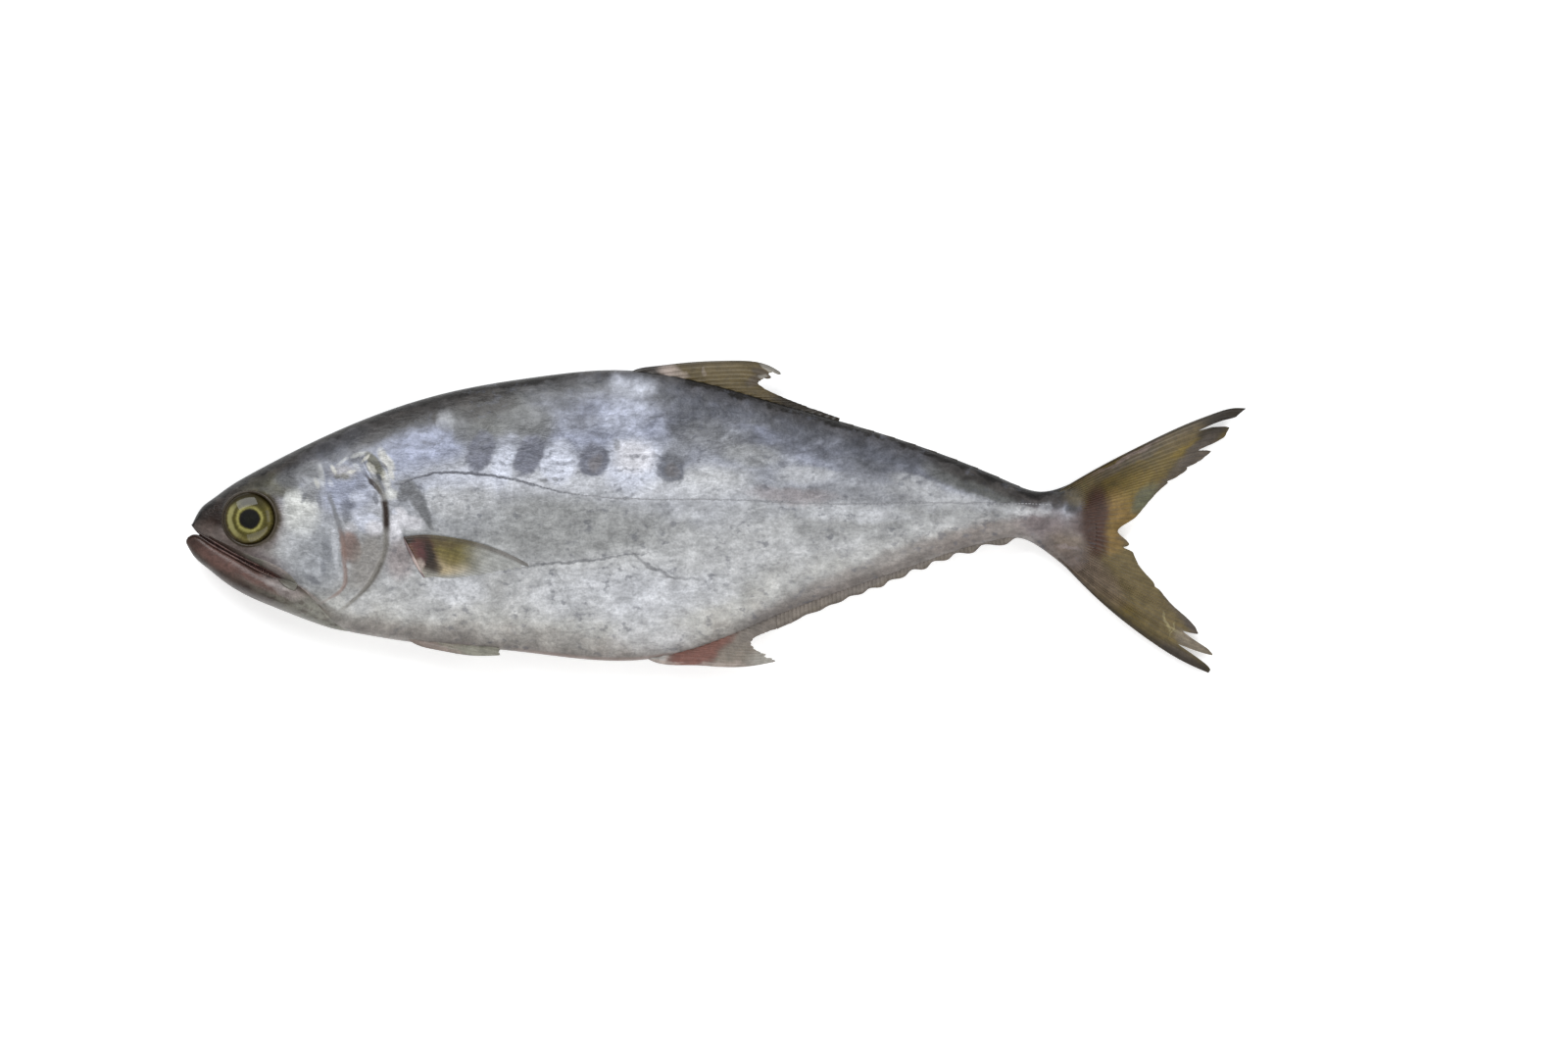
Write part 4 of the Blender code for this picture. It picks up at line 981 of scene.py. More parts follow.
def add_rods(name, lines, radii, material, sides=8, **measures):
    """Rods along several lines of points, each with a radius at every point."""
    measures = {"radius": np.concatenate(radii), **measures}
    sizes = {"Sides": sides, "Thickness": 1.0}
    return grow_along(name, lines, material, rod_tree(material), sizes, measures)


def round_the_front(xs, height, width, tip):
    """A line back along the left side, round the front and along the right side."""
    left = np.stack([xs, height(xs), mid_height(xs) + width(xs)], -1)[::-1]
    right = np.stack([xs, height(xs), mid_height(xs) - width(xs)], -1)
    return np.concatenate([left, [(tip[0], tip[1], float(mid_height(tip[0])))], right])


def make_lips(material):
    xs = SNOUT_X + (MOUTH_CORNER_X - SNOUT_X) * np.linspace(0, 1, 60) ** 1.4
    upper = round_the_front(
        xs, lambda x: under(x) + 0.5 * MM,
        lambda x: np.maximum(flank(x, under(x) + 1.2 * MM) - 0.4 * MM, 0.5 * MM),
        (SNOUT_X + 0.3 * MM, under(SNOUT_X) + 0.4 * MM),
    )
    lower = round_the_front(
        xs - 1.6 * MM, lambda x: lip_line(x) - 0.3 * MM,
        lambda x: jaw_half_width(x) * 0.86, (0.5 * MM, -8.9 * MM),
    )
    taper = np.concatenate([xs[::-1], [0], xs]) / MOUTH_CORNER_X
    radii = [(0.36 + 0.5 * taper - 0.6 * taper**3) * MM, (0.5 - 0.3 * taper**3) * MM]
    return add_rods("lips", [upper, lower], radii, material, sides=12)


def row_tree(name):
    """The start of a tree that sets small pieces in a row along the guide's edges."""
    tree = new_tree(name, (("Spacing", "Float"), ("Length", "Float"), ("Seed", "Int")))
    start = tree.nodes.new("NodeGroupInput")
    line = add_step(tree, "GeometryNodeMeshToCurve", {"Mesh": start.outputs["Geometry"]})
    spots = add_step(
        tree, "GeometryNodeResampleCurve",
        {"Curve": line, "Length": start.outputs["Spacing"]}, mode="LENGTH",
    )
    return tree, start, spots


def teeth_tree(material):
    """Small cones in a row, tilted a little at random."""
    tree, start, spots = row_tree("teeth along lips")
    cone = add_step(
        tree, "GeometryNodeMeshCone",
        {"Vertices": 8, "Side Segments": 3, "Radius Top": 0.02 * MM, "Radius Bottom": 0.11 * MM,
         "Depth": start.outputs["Length"]},
    )
    tilt = add_step(
        tree, "FunctionNodeRandomValue",
        {"Min": (-1.9, -0.3, -0.3), "Max": (-1.3, 0.3, 0.3), "Seed": start.outputs["Seed"]},
        data_type="FLOAT_VECTOR",
    )
    teeth = add_step(
        tree, "GeometryNodeInstanceOnPoints", {"Points": spots, "Instance": cone, "Rotation": tilt}
    )
    end_tree(tree, teeth, material)
    return tree


def tooth_paint():
    paint = Paint("tooth", 0.3, coat=0.4)
    _, solid = paint.place()
    stain = paint.noise(solid, 0.6 * MM)
    colour = paint.blend(paint.step(stain, 0.4, 0.7), pigment(214, 206, 190), pigment(180, 166, 146))
    return paint.finish(colour)


def make_teeth(material):
    xs = np.linspace(*TEETH_FROM_TO_X, 40)
    width = jaw_half_width(xs) * 0.74
    height = lip_line(xs) - 0.15 * MM
    lines = [np.stack([xs, height, mid_height(xs) + side * width], -1) for _, side in SIDES]
    sizes = {"Spacing": TOOTH_SPACING, "Length": TOOTH_LENGTH, "Seed": 4}
    return grow_along("teeth", lines, material, teeth_tree(material), sizes)


def flank_or_jaw(x, y):
    """Half the head's thickness at (x, y), with the jaw where it lies further out."""
    lip, chin = lip_line(x), chin_line(x)
    level = np.clip((2 * y - lip - chin) / (lip - chin), -1, 1)
    top = (1 - np.clip(level, 0, 1) ** 4) ** 0.3
    bottom = (1 - np.clip(level, -1, 0) ** 2) ** 0.425
    return np.maximum(flank(x, y), jaw_half_width(x) * np.where(level > 0, top, bottom))


# The upper jaw's bone, which widens backwards and slides over the mouth's corner.
UPPER_JAW_TOP = (
    (0.0100, -0.0066), (0.0200, -0.0113), (0.0300, -0.0158), (0.0390, -0.0195),
    (0.0450, -0.0238), (0.0478, -0.0275),
)
UPPER_JAW_FOOT = (
    (0.0098, -0.0080), (0.0200, -0.0140), (0.0300, -0.0192), (0.0378, -0.0240),
    (0.0432, -0.0290), (0.0464, -0.0302),
)


def make_upper_jaw_bone(word, side):
    top, foot = smooth_path(UPPER_JAW_TOP), smooth_path(UPPER_JAW_FOOT)
    across, along = fan_grid(70, 22)
    flat = (1 - along[..., None]) * top(across) + along[..., None] * foot(across)
    x, y = flat[..., 0], flat[..., 1]
    crown = np.sin(np.pi * along) ** 0.4 * np.sin(np.pi * np.clip(across, 0.02, 0.98)) ** 0.25
    rib = 0.15 * MM * np.exp(-(((along - 0.25) / 0.12) ** 2))
    half = flank_or_jaw(x, y)
    outer = half + (0.65 * MM + rib) * crown - 0.2 * MM
    z = mid_height(x)
    over = np.dstack([flat, z + side * outer])
    beneath = np.dstack([flat, z + side * (half - 1.2 * MM)])
    return add_sheet(f"{word}_upper_jaw_bone", over, beneath, upper_jaw_material, marks(x, y))


def upper_jaw_paint():
    """Grey-brown skin over the jaw bone, pale and pinkish at its hind end."""
    paint = Paint("upper jaw skin", 0.38, coat=0.15, coat_roughness=0.16)
    flat, solid = paint.place()
    rows = (
        ("grey", (33, -17.6), (7, 2.6), -26, 0.6, 0.60),
        ("pale", (39, -21), (5, 3), -30, 0.6, 0.80),
        ("grey", (45, -27), (4, 4), -40, 0.6, 0.70),
        ("snout", (12, -9), (8, 4), -26, 0.6, 0.85),
    )
    colour = paint.dabs(JAW_COLOURS["brown"], paint.wander(flat, 5 * MM, 3 * MM), rows, JAW_COLOURS)
    grain = paint.noise(solid, 0.8 * MM, detail=4.0, stretch=(2, 1, 1))
    colour = paint.dim(colour, paint.step(grain, 0.25, 0.75, 0.8, 1.2))
    return paint.finish(colour, ((grain, 0.15 * MM),))


lip_material = lip_paint()
upper_jaw_material = upper_jaw_paint()
mouth_pieces = [make_jaw(), make_tongue(), make_lips(lip_material), make_teeth(tooth_paint())]
mouth_pieces += [make_upper_jaw_bone(word, side) for word, side in SIDES]
keep_on_fish(mouth_pieces)


# Nostrils
# Two small nostrils on each side between the eye and the snout, each a low dark rim on the skin.
NOSTRILS = ((10.6 * MM, 3.4 * MM, 0.75 * MM), (13.2 * MM, 4.9 * MM, 1.0 * MM))


def nostril_paint():
    paint = Paint("nostril skin", 0.35, coat=0.3)
    _, solid = paint.place()
    grain = paint.noise(solid, 0.5 * MM)
    colour = paint.blend(grain, pigment(40, 31, 27), pigment(66, 53, 47))
    return paint.finish(colour, ((grain, 0.05 * MM),))


def make_nostrils(material):
    lines, radii = [], []
    turn = np.linspace(0, 2 * np.pi, 33)
    for _, side in SIDES:
        for x, y, size in NOSTRILS:
            ring_x, ring_y = x + 1.3 * size * np.cos(turn), y + size * np.sin(turn)
            z = mid_height(ring_x) + side * (flank(ring_x, ring_y) + relief(ring_x, ring_y, side))
            lines.append(np.stack([ring_x, ring_y, z], -1))
            radii.append(np.full(turn.size, 0.2 * MM))
    return add_rods("nostril_rims", lines, radii, material, sides=10)


keep_on_fish([make_nostrils(nostril_paint())])


# Eyes
# A flattened eyeball in each socket, with a black pupil, a pale ring round it, an olive-gold
# iris and a dark rim, under a clear wet cornea. A dark fold of skin runs round each eye.
EYE_HALF_DEPTH, EYE_OFFSET = 4.6 * MM, 6.7 * MM
EYE_RINGS = (
    (0.0, pigment(30, 31, 24)), (0.30, pigment(22, 20, 10)), (0.355, pigment(36, 33, 14)),
    (0.40, pigment(112, 108, 58)), (0.44, pigment(158, 153, 92)), (0.49, pigment(136, 130, 76)),
    (0.54, pigment(88, 83, 40)), (0.62, pigment(78, 72, 34)), (0.70, pigment(96, 89, 48)),
    (0.77, pigment(116, 108, 64)), (0.84, pigment(96, 88, 52)), (0.91, pigment(64, 55, 32)),
    (1.0, pigment(52, 43, 30)),
)


def eye_paint(side):
    """Iris and pupil by the distance from the eye's middle, with fine fibres, a painted highlight on the iris
    towards the snout, and a painted shadow of the brow over its top.
    """
    paint = Paint(f"eye {side}", 0.45, coat=0.5, coat_roughness=0.03, specular=0.1)
    flat, solid = paint.place()
    middle = (EYE_X, EYE_Y, 0)
    ray = paint.add("VectorMath", {0: flat, 1: middle}, operation="SUBTRACT")
    reach = paint.add("VectorMath", {0: ray}, output="Value", operation="LENGTH")
    waver = paint.step(paint.noise(flat, 3 * MM, detail=3.0), 0.2, 0.8, -0.25 * MM, 0.25 * MM)
    share = paint.math("DIVIDE", paint.math("ADD", reach, waver), EYE_RADIUS)
    colour = paint.ramp(share, EYE_RINGS)
    way = paint.add("VectorMath", {0: ray}, operation="NORMALIZE")
    fibres = paint.noise(way, 0.09, detail=4.0)
    speckle = paint.noise(solid, 0.5 * MM, detail=3.0)
    colour = paint.dim(colour, paint.step(fibres, 0.3, 0.7, 0.82, 1.18))
    colour = paint.dim(colour, paint.step(speckle, 0.3, 0.7, 0.88, 1.12))
    # A painted highlight: a paler patch on the iris towards the snout, where the light falls.
    lit = paint.oval(flat, (EYE_X - 6.5 * MM, EYE_Y + 1 * MM), (4 * MM, 7 * MM), 0, 0.6)
    on_iris = paint.math("MULTIPLY", paint.step(share, 0.6, 0.7), paint.step(share, 0.86, 0.8))
    painted_highlight = paint.math("MULTIPLY", paint.math("MULTIPLY", lit, on_iris), 0.5)
    colour = paint.blend(painted_highlight, colour, pigment(188, 184, 128))
    # A painted shadow of the brow over the top of the eye.
    brow_shadow = paint.oval(flat, (EYE_X - 1 * MM, EYE_Y + 10.3 * MM), (12 * MM, 4.4 * MM), 0, 0.6)
    colour = paint.blend(paint.math("MULTIPLY", brow_shadow, 0.85), colour, pigment(44, 38, 22))
    return paint.finish(colour, ((fibres, 0.15 * MM),))


def make_eye(word, side):
    turn = np.linspace(0, 2 * np.pi, 96, endpoint=False)[None, :]
    fall = np.linspace(0, np.pi, 66)[1:-1, None]
    cornea = 1 + 0.05 * np.exp(-((np.sin(fall) / 0.5) ** 2))
    x = EYE_X + EYE_RADIUS * np.sin(fall) * np.cos(turn)
    y = EYE_Y + EYE_RADIUS * np.sin(fall) * np.sin(turn)
    z = mid_height(EYE_X) + side * EYE_OFFSET + EYE_HALF_DEPTH * np.cos(fall) * cornea + 0 * x
    return add_tube(f"{word}_eyeball", np.stack([x, y, z], -1), eye_paint(word))


def orbit_paint():
    paint = Paint("skin round the eye", 0.4, coat=0.1, coat_roughness=0.15)
    flat, solid = paint.place()
    grain = paint.noise(solid, 0.9 * MM, detail=3.0)
    colour = paint.blend(grain, pigment(40, 33, 26), pigment(78, 68, 55))
    pale = paint.oval(flat, (38 * MM, -6 * MM), (8 * MM, 12 * MM), 20, 0.6)
    colour = paint.blend(paint.math("MULTIPLY", pale, 0.3), colour, pigment(112, 104, 90))
    return paint.finish(colour, ((grain, 0.12 * MM),))


def make_orbits(material):
    """The skin fold round each eye, which lies on the eyeball's edge."""
    lines, radii = [], []
    turn = np.linspace(0, 2 * np.pi, 129)
    for _, side in SIDES:
        reach = EYE_RADIUS + 0.1 * MM
        x, y = EYE_X + reach * np.cos(turn), EYE_Y + reach * np.sin(turn)
        ball = EYE_OFFSET + 0.6 * MM
        z = mid_height(EYE_X) + side * np.maximum(flank(x, y) - 0.1 * MM, ball)
        lines.append(np.stack([x, y, z], -1))
        radii.append(np.full(turn.size, 0.7 * MM))
    return add_rods("eye_folds", lines, radii, material, sides=14)


for word, side in SIDES:
    eyeball = make_eye(word, side)
    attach(eyeball, "root")
    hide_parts(f"eye_{word}")
keep_on_fish([make_orbits(orbit_paint())])


# Lateral line
# A row of small raised tubes along each flank, arched over the pectoral fin, through which
# the fish feels the water.
TUBE_SPACING, TUBE_LENGTH = 1.5 * MM, 1.2 * MM


def tube_tree(material):
    """Flattened beads in a row, turned along it, of uneven size."""
    tree, start, spots = row_tree("tubes along the flank")
    bead = add_step(
        tree, "GeometryNodeMeshIcoSphere", {"Radius": start.outputs["Length"], "Subdivisions": 2}
    )
    bead = add_step(
        tree, "GeometryNodeTransform", {"Geometry": bead, "Scale": (0.5, 0.16, 0.13)}
    )
    tangent = tree.nodes.new("GeometryNodeInputTangent").outputs[0]
    turned = add_step(tree, "FunctionNodeAlignRotationToVector", {"Vector": tangent}, axis="X")
    size = add_step(
        tree, "FunctionNodeRandomValue",
        {2: 0.7, 3: 1.15, "Seed": start.outputs["Seed"]}, output=1,
    )
    tubes = add_step(
        tree, "GeometryNodeInstanceOnPoints",
        {"Points": spots, "Instance": bead, "Rotation": turned, "Scale": size},
    )
    end_tree(tree, tubes, material)
    return tree


def tube_paint():
    paint = Paint("lateral line", 0.35, coat=0.3)
    flat, solid = paint.place()
    along_x = paint.add("SeparateXYZ", {0: flat}, output=0)
    grain = paint.noise(solid, 1.4 * MM)
    dark = paint.blend(grain, pigment(84, 84, 92), pigment(120, 120, 128))
    pale = paint.blend(grain, pigment(146, 146, 150), pigment(178, 178, 182))
    colour = paint.blend(paint.step(along_x, 140 * MM, 185 * MM), dark, pale)
    return paint.finish(colour)


def make_lateral_lines(material):
    xs = np.linspace(92 * MM, 366 * MM, 260)
    rng = np.random.default_rng(11)
    wiggle = np.convolve(rng.normal(0, 0.5 * MM, xs.size), np.ones(9) / 9, "same")
    ys = lateral_line(xs) + wiggle
    lines = []
    for _, side in SIDES:
        z = skin_height(xs, ys, side) + side * 0.02 * MM
        lines.append(np.stack([xs, ys, np.maximum(z, 0.1 * MM)], -1))
    sizes = {"Spacing": TUBE_SPACING, "Length": TUBE_LENGTH, "Seed": 3}
    return grow_along("lateral_line_tubes", lines, material, tube_tree(material), sizes)


keep_on_fish([make_lateral_lines(tube_paint())])


# Tail fin
# A deeply forked sheet of thin olive web on forked rays, dark along its outer edges and
# maroon at its root. Its tips are frayed and split.
TAIL_BASE = ((0.3695, 0.0122), (0.3695, -0.0168))
TAIL_UPPER_LEAD = (
    (0.3695, 0.0122), (0.386, 0.0218), (0.406, 0.0321), (0.4259, 0.0413),
    (0.4359, 0.0451), (0.4440, 0.0473), (0.450, 0.0472),
)
TAIL_LOWER_LEAD = (
    (0.3695, -0.0168), (0.386, -0.0335), (0.4087, -0.0516), (0.4245, -0.0612),
    (0.4336, -0.0652),
)
TAIL_MARGIN = (
    (0.450, 0.0472), (0.4438, 0.0414), (0.4408, 0.0359), (0.4362, 0.0303),
    (0.4245, 0.0211), (0.413, 0.0126), (0.406, 0.0050), (0.4005, -0.0005),
    (0.3950, -0.0049), (0.3992, -0.0095), (0.4027, -0.0172), (0.4093, -0.0257),
    (0.4193, -0.0374), (0.4290, -0.0480), (0.4300, -0.0512), (0.4358, -0.0580),
    (0.4336, -0.0652),
)
# Each split: where across, how deep, and how wide it opens before and behind.
TAIL_SPLITS = (
    (0.066, 0.18, 0.030, 0.007), (0.150, 0.10, 0.050, 0.008), (0.230, 0.03, 0.02, 0.02),
    (0.300, 0.03, 0.02, 0.01), (0.570, 0.13, 0.020, 0.008), (0.700, 0.03, 0.02, 0.01),
    (0.884, 0.11, 0.012, 0.040), (0.962, 0.22, 0.014, 0.030),
)
TAIL_RAYS = 44
FIN_COLOURS = {
    "dark": pigment(46, 41, 36), "maroon": pigment(74, 52, 45), "gold": pigment(124, 104, 46),
    "olive": pigment(92, 78, 40), "amber": pigment(146, 117, 68), "rose": pigment(138, 122, 116),
    "moss": pigment(110, 97, 68), "smoke": pigment(84, 76, 70), "straw": pigment(160, 150, 112),
    "bone": pigment(160, 156, 148), "blush": pigment(172, 158, 150), "wine": pigment(104, 64, 66),
    "bark": pigment(92, 80, 56), "red": pigment(124, 84, 74), "ash": pigment(130, 121, 111),
    "belly": pigment(172, 169, 165), "reed": pigment(142, 140, 128), "taupe": pigment(116, 102, 90),
    "cream": pigment(184, 168, 136), "leaf": pigment(112, 104, 66), "flank": pigment(168, 169, 167),
    "sea": pigment(96, 100, 84), "warm": pigment(124, 117, 111), "coal": pigment(62, 58, 56),
}


def fin_paint(name, ground, rows, edges=(), ray_count=30, ray_share=0.10):
    """Wet web over rays: dabs of colour, dark edges, and fine lines along the rays."""
    paint = Paint(name, 0.42, coat=0.15, coat_roughness=0.18)
    flat, solid = paint.place()
    rough_edges = paint.wander(paint.wander(flat, 9 * MM, 5 * MM), 2.5 * MM, 1.8 * MM)
    colour = paint.dabs(FIN_COLOURS[ground], rough_edges, rows, FIN_COLOURS)
    across, along = paint.measure("across"), paint.measure("along")
    for hue, value, start, end, share in edges:
        near = paint.step(across if value == "across" else along, start, end, 0, share)
        colour = paint.blend(near, colour, FIN_COLOURS[hue])
    wave = paint.math("SINE", paint.math("MULTIPLY", across, 2 * np.pi * ray_count))
    fine_wave = paint.math("SINE", paint.math("MULTIPLY", across, 6 * np.pi * ray_count))
    colour = paint.dim(colour, paint.step(wave, -1, 1, 1 - ray_share, 1 + ray_share))
    colour = paint.dim(colour, paint.step(fine_wave, -1, 1, 0.95, 1.05))
    patches = paint.noise(flat, 4 * MM, detail=4.0, distortion=0.6)
    colour = paint.dim(colour, paint.step(patches, 0.3, 0.7, 0.82, 1.18))
    grain = paint.noise(solid, 0.6 * MM, detail=3.0)
    colour = paint.dim(colour, paint.step(grain, 0.25, 0.75, 0.86, 1.14))
    return paint.finish(colour, ((patches, 0.2 * MM), (wave, 0.08 * MM), (grain, 0.06 * MM)))


def split_depth(across, splits):
    """How much shorter the rays are at each share across, as a share of their length."""
    cut = np.zeros_like(across)
    for place, depth, before, behind in splits:
        away = np.where(across < place, (place - across) / before, (across - place) / behind)
        cut += depth * np.clip(1 - away, 0, 1) ** 1.7
    return cut


def frayed(rays, wear, seed):
    """A smooth random shortening of the rays, a little different from ray to ray."""
    rng = np.random.default_rng(seed)
    short = wear * rng.random(rays + 1) ** 2

    def at(across):
        place = np.clip(across, 0, 1) * rays
        i = np.minimum(place.astype(int), rays - 1)
        nearest = np.abs(place - i - 0.5) * 2
        return short[i] * (1 - 0.5 * nearest) + 0.35 * wear * nearest**2

    return at


def make_blade_fin(name, edges, rays, material, root=1.7 * MM, offset=0.0, splits=(), wear=0.03,
                   ripple=0.35 * MM, seed=1, rows_per_ray=8, columns=60):
    """A thin web in the fish's mid plane, and forked rays through it."""
    fray = frayed(rays, wear, seed)

    def shape(across, along):
        cut = split_depth(across, splits) + fray(across)
        flat = fan_points(edges, across, along * (1 - cut * along**3))
        wave = np.sin(9 * across + 3.1 * along + seed) + 0.6 * np.sin(23 * across - 4 * along)
        z = mid_height(flat[..., 0]) + offset + ripple * wave * along**2
        return flat, np.maximum(z, 0.7 * MM)

    across, along = fan_grid(rows_per_ray * rays + 1, columns, crowd=1.3)
    flat, z = shape(across, along)
    ridge = 1 + 0.35 * np.cos(2 * np.pi * rays * across + np.pi)
    half = ridge * (root / 2 * (1 - along) ** 1.2 + 0.16 * MM)
    measures = {"across": across, "along": along}
    web = add_sheet(
        f"{name}_web", np.dstack([flat, z + half]), np.dstack([flat, z - half]), material, measures
    )
    lines, radii, spots = [], [], []
    fork = 0.5
    for ray in range(rays):
        middle = (ray + 0.5) / rays
        stems = [(np.linspace(0.0, fork, 16), 0.0)]
        stems += [(np.linspace(fork, 0.985, 18), way) for way in (-0.24, 0.24)]
        for run, way in stems:
            drift = middle + way / rays * np.clip((run - fork) / (1 - fork), 0, 1) ** 0.7
            points, height = shape(drift, run)
            lines.append(np.column_stack([points, height]))
            thickness = (0.38 - 0.24 * run) * fade(run, -0.02, 0.4) * (1 if way == 0 else 0.8)
            radii.append(thickness * root / (1.7 * MM) * MM)
            spots.append(np.column_stack([drift, run]))
    return [web, add_fin_rays(f"{name}_rays", lines, radii, spots, material)]


def add_fin_rays(name, lines, radii, spots, material):
    """Rods for the rays, which keep their place on the fin for its paint."""
    across, along = np.concatenate(spots).T
    return add_rods(name, lines, radii, material, across=across, along=along)


TAIL_DABS = (
    ("gold", (416, 29), (18, 4), 38, 0.7, 0.80),
    ("olive", (400, 20), (16, 6), 34, 0.6, 0.90),
    ("smoke", (404, 27.5), (24, 2.0), 29, 0.6, 0.60),
    ("smoke", (428, 38), (14, 2.6), 34, 0.6, 0.55),
    ("moss", (377.5, 13), (9, 5), 26, 0.5, 0.90),
    ("moss", (410, -33), (26, 9), -50, 0.6, 0.85),
    ("moss", (394, -20), (10, 9), -50, 0.6, 0.60),
    ("amber", (395.5, 4.0), (5, 5.5), 20, 0.9, 0.60),
    ("amber", (393.4, -8.5), (3.2, 4), 0, 0.9, 0.60),
    ("gold", (404, 13), (8, 5), 34, 0.7, 0.50),
    ("taupe", (373, -15), (14, 9), -42, 0.6, 0.95),
    ("taupe", (386, -25), (12, 5), -46, 0.7, 0.70),
    ("maroon", (385.5, 0), (5.5, 13), -3, 0.35, 0.95),
    ("maroon", (387, -11), (4, 5), 10, 0.5, 0.70),
    ("dark", (443, 45), (12, 4), 22, 0.5, 0.90),
    ("dark", (437, 38.5), (9, 3.4), 30, 0.5, 0.90),
    ("smoke", (430, 29), (10, 3.5), 40, 0.5, 0.90),
    ("smoke", (418, 18), (9, 2.6), 44, 0.5, 0.70),
    ("sea", (406, 9), (7, 3), 48, 0.5, 0.75),
    ("smoke", (399, -7), (4, 3), -50, 0.5, 0.50),
    ("smoke", (420, -35), (14, 3), -56, 0.5, 0.85),
    ("smoke", (430, -47), (8, 3), -56, 0.5, 0.80),
    ("straw", (415.4, -43.5), (0.5, 3.6), 6, 0.6, 0.60),
    ("straw", (417.5, -46.5), (0.4, 3.0), -20, 0.6, 0.50),
    ("straw", (421, -49), (6, 0.5), -34, 0.6, 0.60),
    ("ash", (427, -53), (8, 2.6), -34, 0.6, 0.70),
    ("smoke", (424, -60), (12, 3), -34, 0.5, 0.80),
    ("rose", (398, 26.2), (14, 0.7), 27, 0.6, 0.55),
)
tail_edges = (
    smooth_path(TAIL_BASE), smooth_path(TAIL_MARGIN),
    smooth_path(TAIL_UPPER_LEAD), smooth_path(TAIL_LOWER_LEAD),
)
tail_paint = fin_paint(
    "tail web", "olive", TAIL_DABS,
    (("dark", "across", 0.035, 0.006, 0.75), ("dark", "across", 0.965, 0.994, 0.70)),
    TAIL_RAYS,
)
keep_on_fish(make_blade_fin(
    "tail_fin", tail_edges, TAIL_RAYS, tail_paint, splits=TAIL_SPLITS, wear=0.008, seed=5,
))


# Dorsal, anal and pelvic fins
# Low swept fins of web on soft rays. The dorsal fin is olive-brown with a torn pale tip, the
# anal fin red at its root, and the small pelvic fins lie folded along the belly.
DORSAL_BASE = ((0.1840, 0.0590), (0.230, 0.0510), (0.275, 0.0390))
DORSAL_LEAD = (
    (0.1840, 0.0590), (0.1900, 0.0634), (0.1970, 0.0648), (0.210, 0.0663), (0.2310, 0.0673),
    (0.2474, 0.0650), (0.2530, 0.0615),
)
DORSAL_MARGIN = (
    (0.2530, 0.0615), (0.2470, 0.0594), (0.2437, 0.0573), (0.2482, 0.0539),
    (0.2582, 0.0497), (0.2770, 0.0430),
)
DORSAL_LAST = ((0.275, 0.0390), (0.2770, 0.0430))
ANAL_BASE = ((0.1900, -0.0550), (0.222, -0.0460), (0.255, -0.0345))
ANAL_LEAD = (
    (0.1900, -0.0550), (0.1970, -0.0598), (0.215, -0.0617), (0.2262, -0.0624),
    (0.2387, -0.0621), (0.2505, -0.0600),
)
ANAL_MARGIN = (
    (0.2505, -0.0600), (0.2433, -0.0558), (0.2393, -0.0522), (0.2420, -0.0496),
    (0.2490, -0.0468), (0.2570, -0.0437),
)
ANAL_LAST = ((0.255, -0.0345), (0.2570, -0.0437))
PELVIC_BASE = ((0.0900, -0.0470), (0.112, -0.0505))
PELVIC_LEAD = (
    (0.0900, -0.0470), (0.0967, -0.0525), (0.1067, -0.0553), (0.1200, -0.0575),
    (0.1330, -0.0575),
)
PELVIC_MARGIN = ((0.1330, -0.0575), (0.1328, -0.0545))
PELVIC_LAST = ((0.112, -0.0505), (0.1328, -0.0545))
PELVIC_OFFSET = 1.6 * MM
DORSAL_DABS = (
    ("coal", (192, 62), (11, 7), 10, 0.4, 0.95),
    ("blush", (205, 62.6), (5, 2.4), -20, 0.5, 0.90),
    ("blush", (211, 61.2), (2, 1.2), 0, 0.6, 0.80),
    ("blush", (219.5, 62.2), (0.8, 1.8), 10, 0.5, 0.70),
    ("moss", (232, 63), (10, 4), -4, 0.6, 0.60),
    ("olive", (226, 59), (16, 3), -12, 0.6, 0.50),
    ("bone", (246.5, 64), (3.4, 1.0), -30, 0.5, 0.90),
    ("bone", (251, 62.4), (3, 1.6), -30, 0.5, 0.90),
    ("smoke", (244, 61.6), (4, 1.6), -20, 0.5, 0.70),
    ("smoke", (242, 58.6), (4, 2.0), 20, 0.5, 0.70),
    ("bone", (243.5, 60.2), (1.6, 0.8), 20, 0.6, 0.60),
    ("dark", (266, 45), (16, 5), -22, 0.5, 0.95),
)
ANAL_DABS = (
    ("warm", (246, -44), (14, 5), 26, 0.5, 0.80),
    ("belly", (195, -57), (9, 7), 0, 0.3, 1.00),
    ("red", (213, -59), (9, 4.5), 12, 0.5, 1.00),
    ("red", (223, -53), (10, 3.6), 38, 0.6, 0.95),
    ("bone", (247, -59), (8, 3.4), 8, 0.5, 0.90),
    ("blush", (226, -61.6), (10, 1.2), 0, 0.5, 0.60),
    ("blush", (196, -60), (12, 0.9), -4, 0.5, 0.80),
)
PELVIC_DABS = (
    ("rose", (103, -53.6), (12, 1.6), -16, 0.6, 0.80),
    ("ash", (112, -52), (5, 2), -10, 0.6, 0.60),
)


def fin_edges(base, margin, lead, last):
    return smooth_path(base), smooth_path(margin), smooth_path(lead), smooth_path(last)


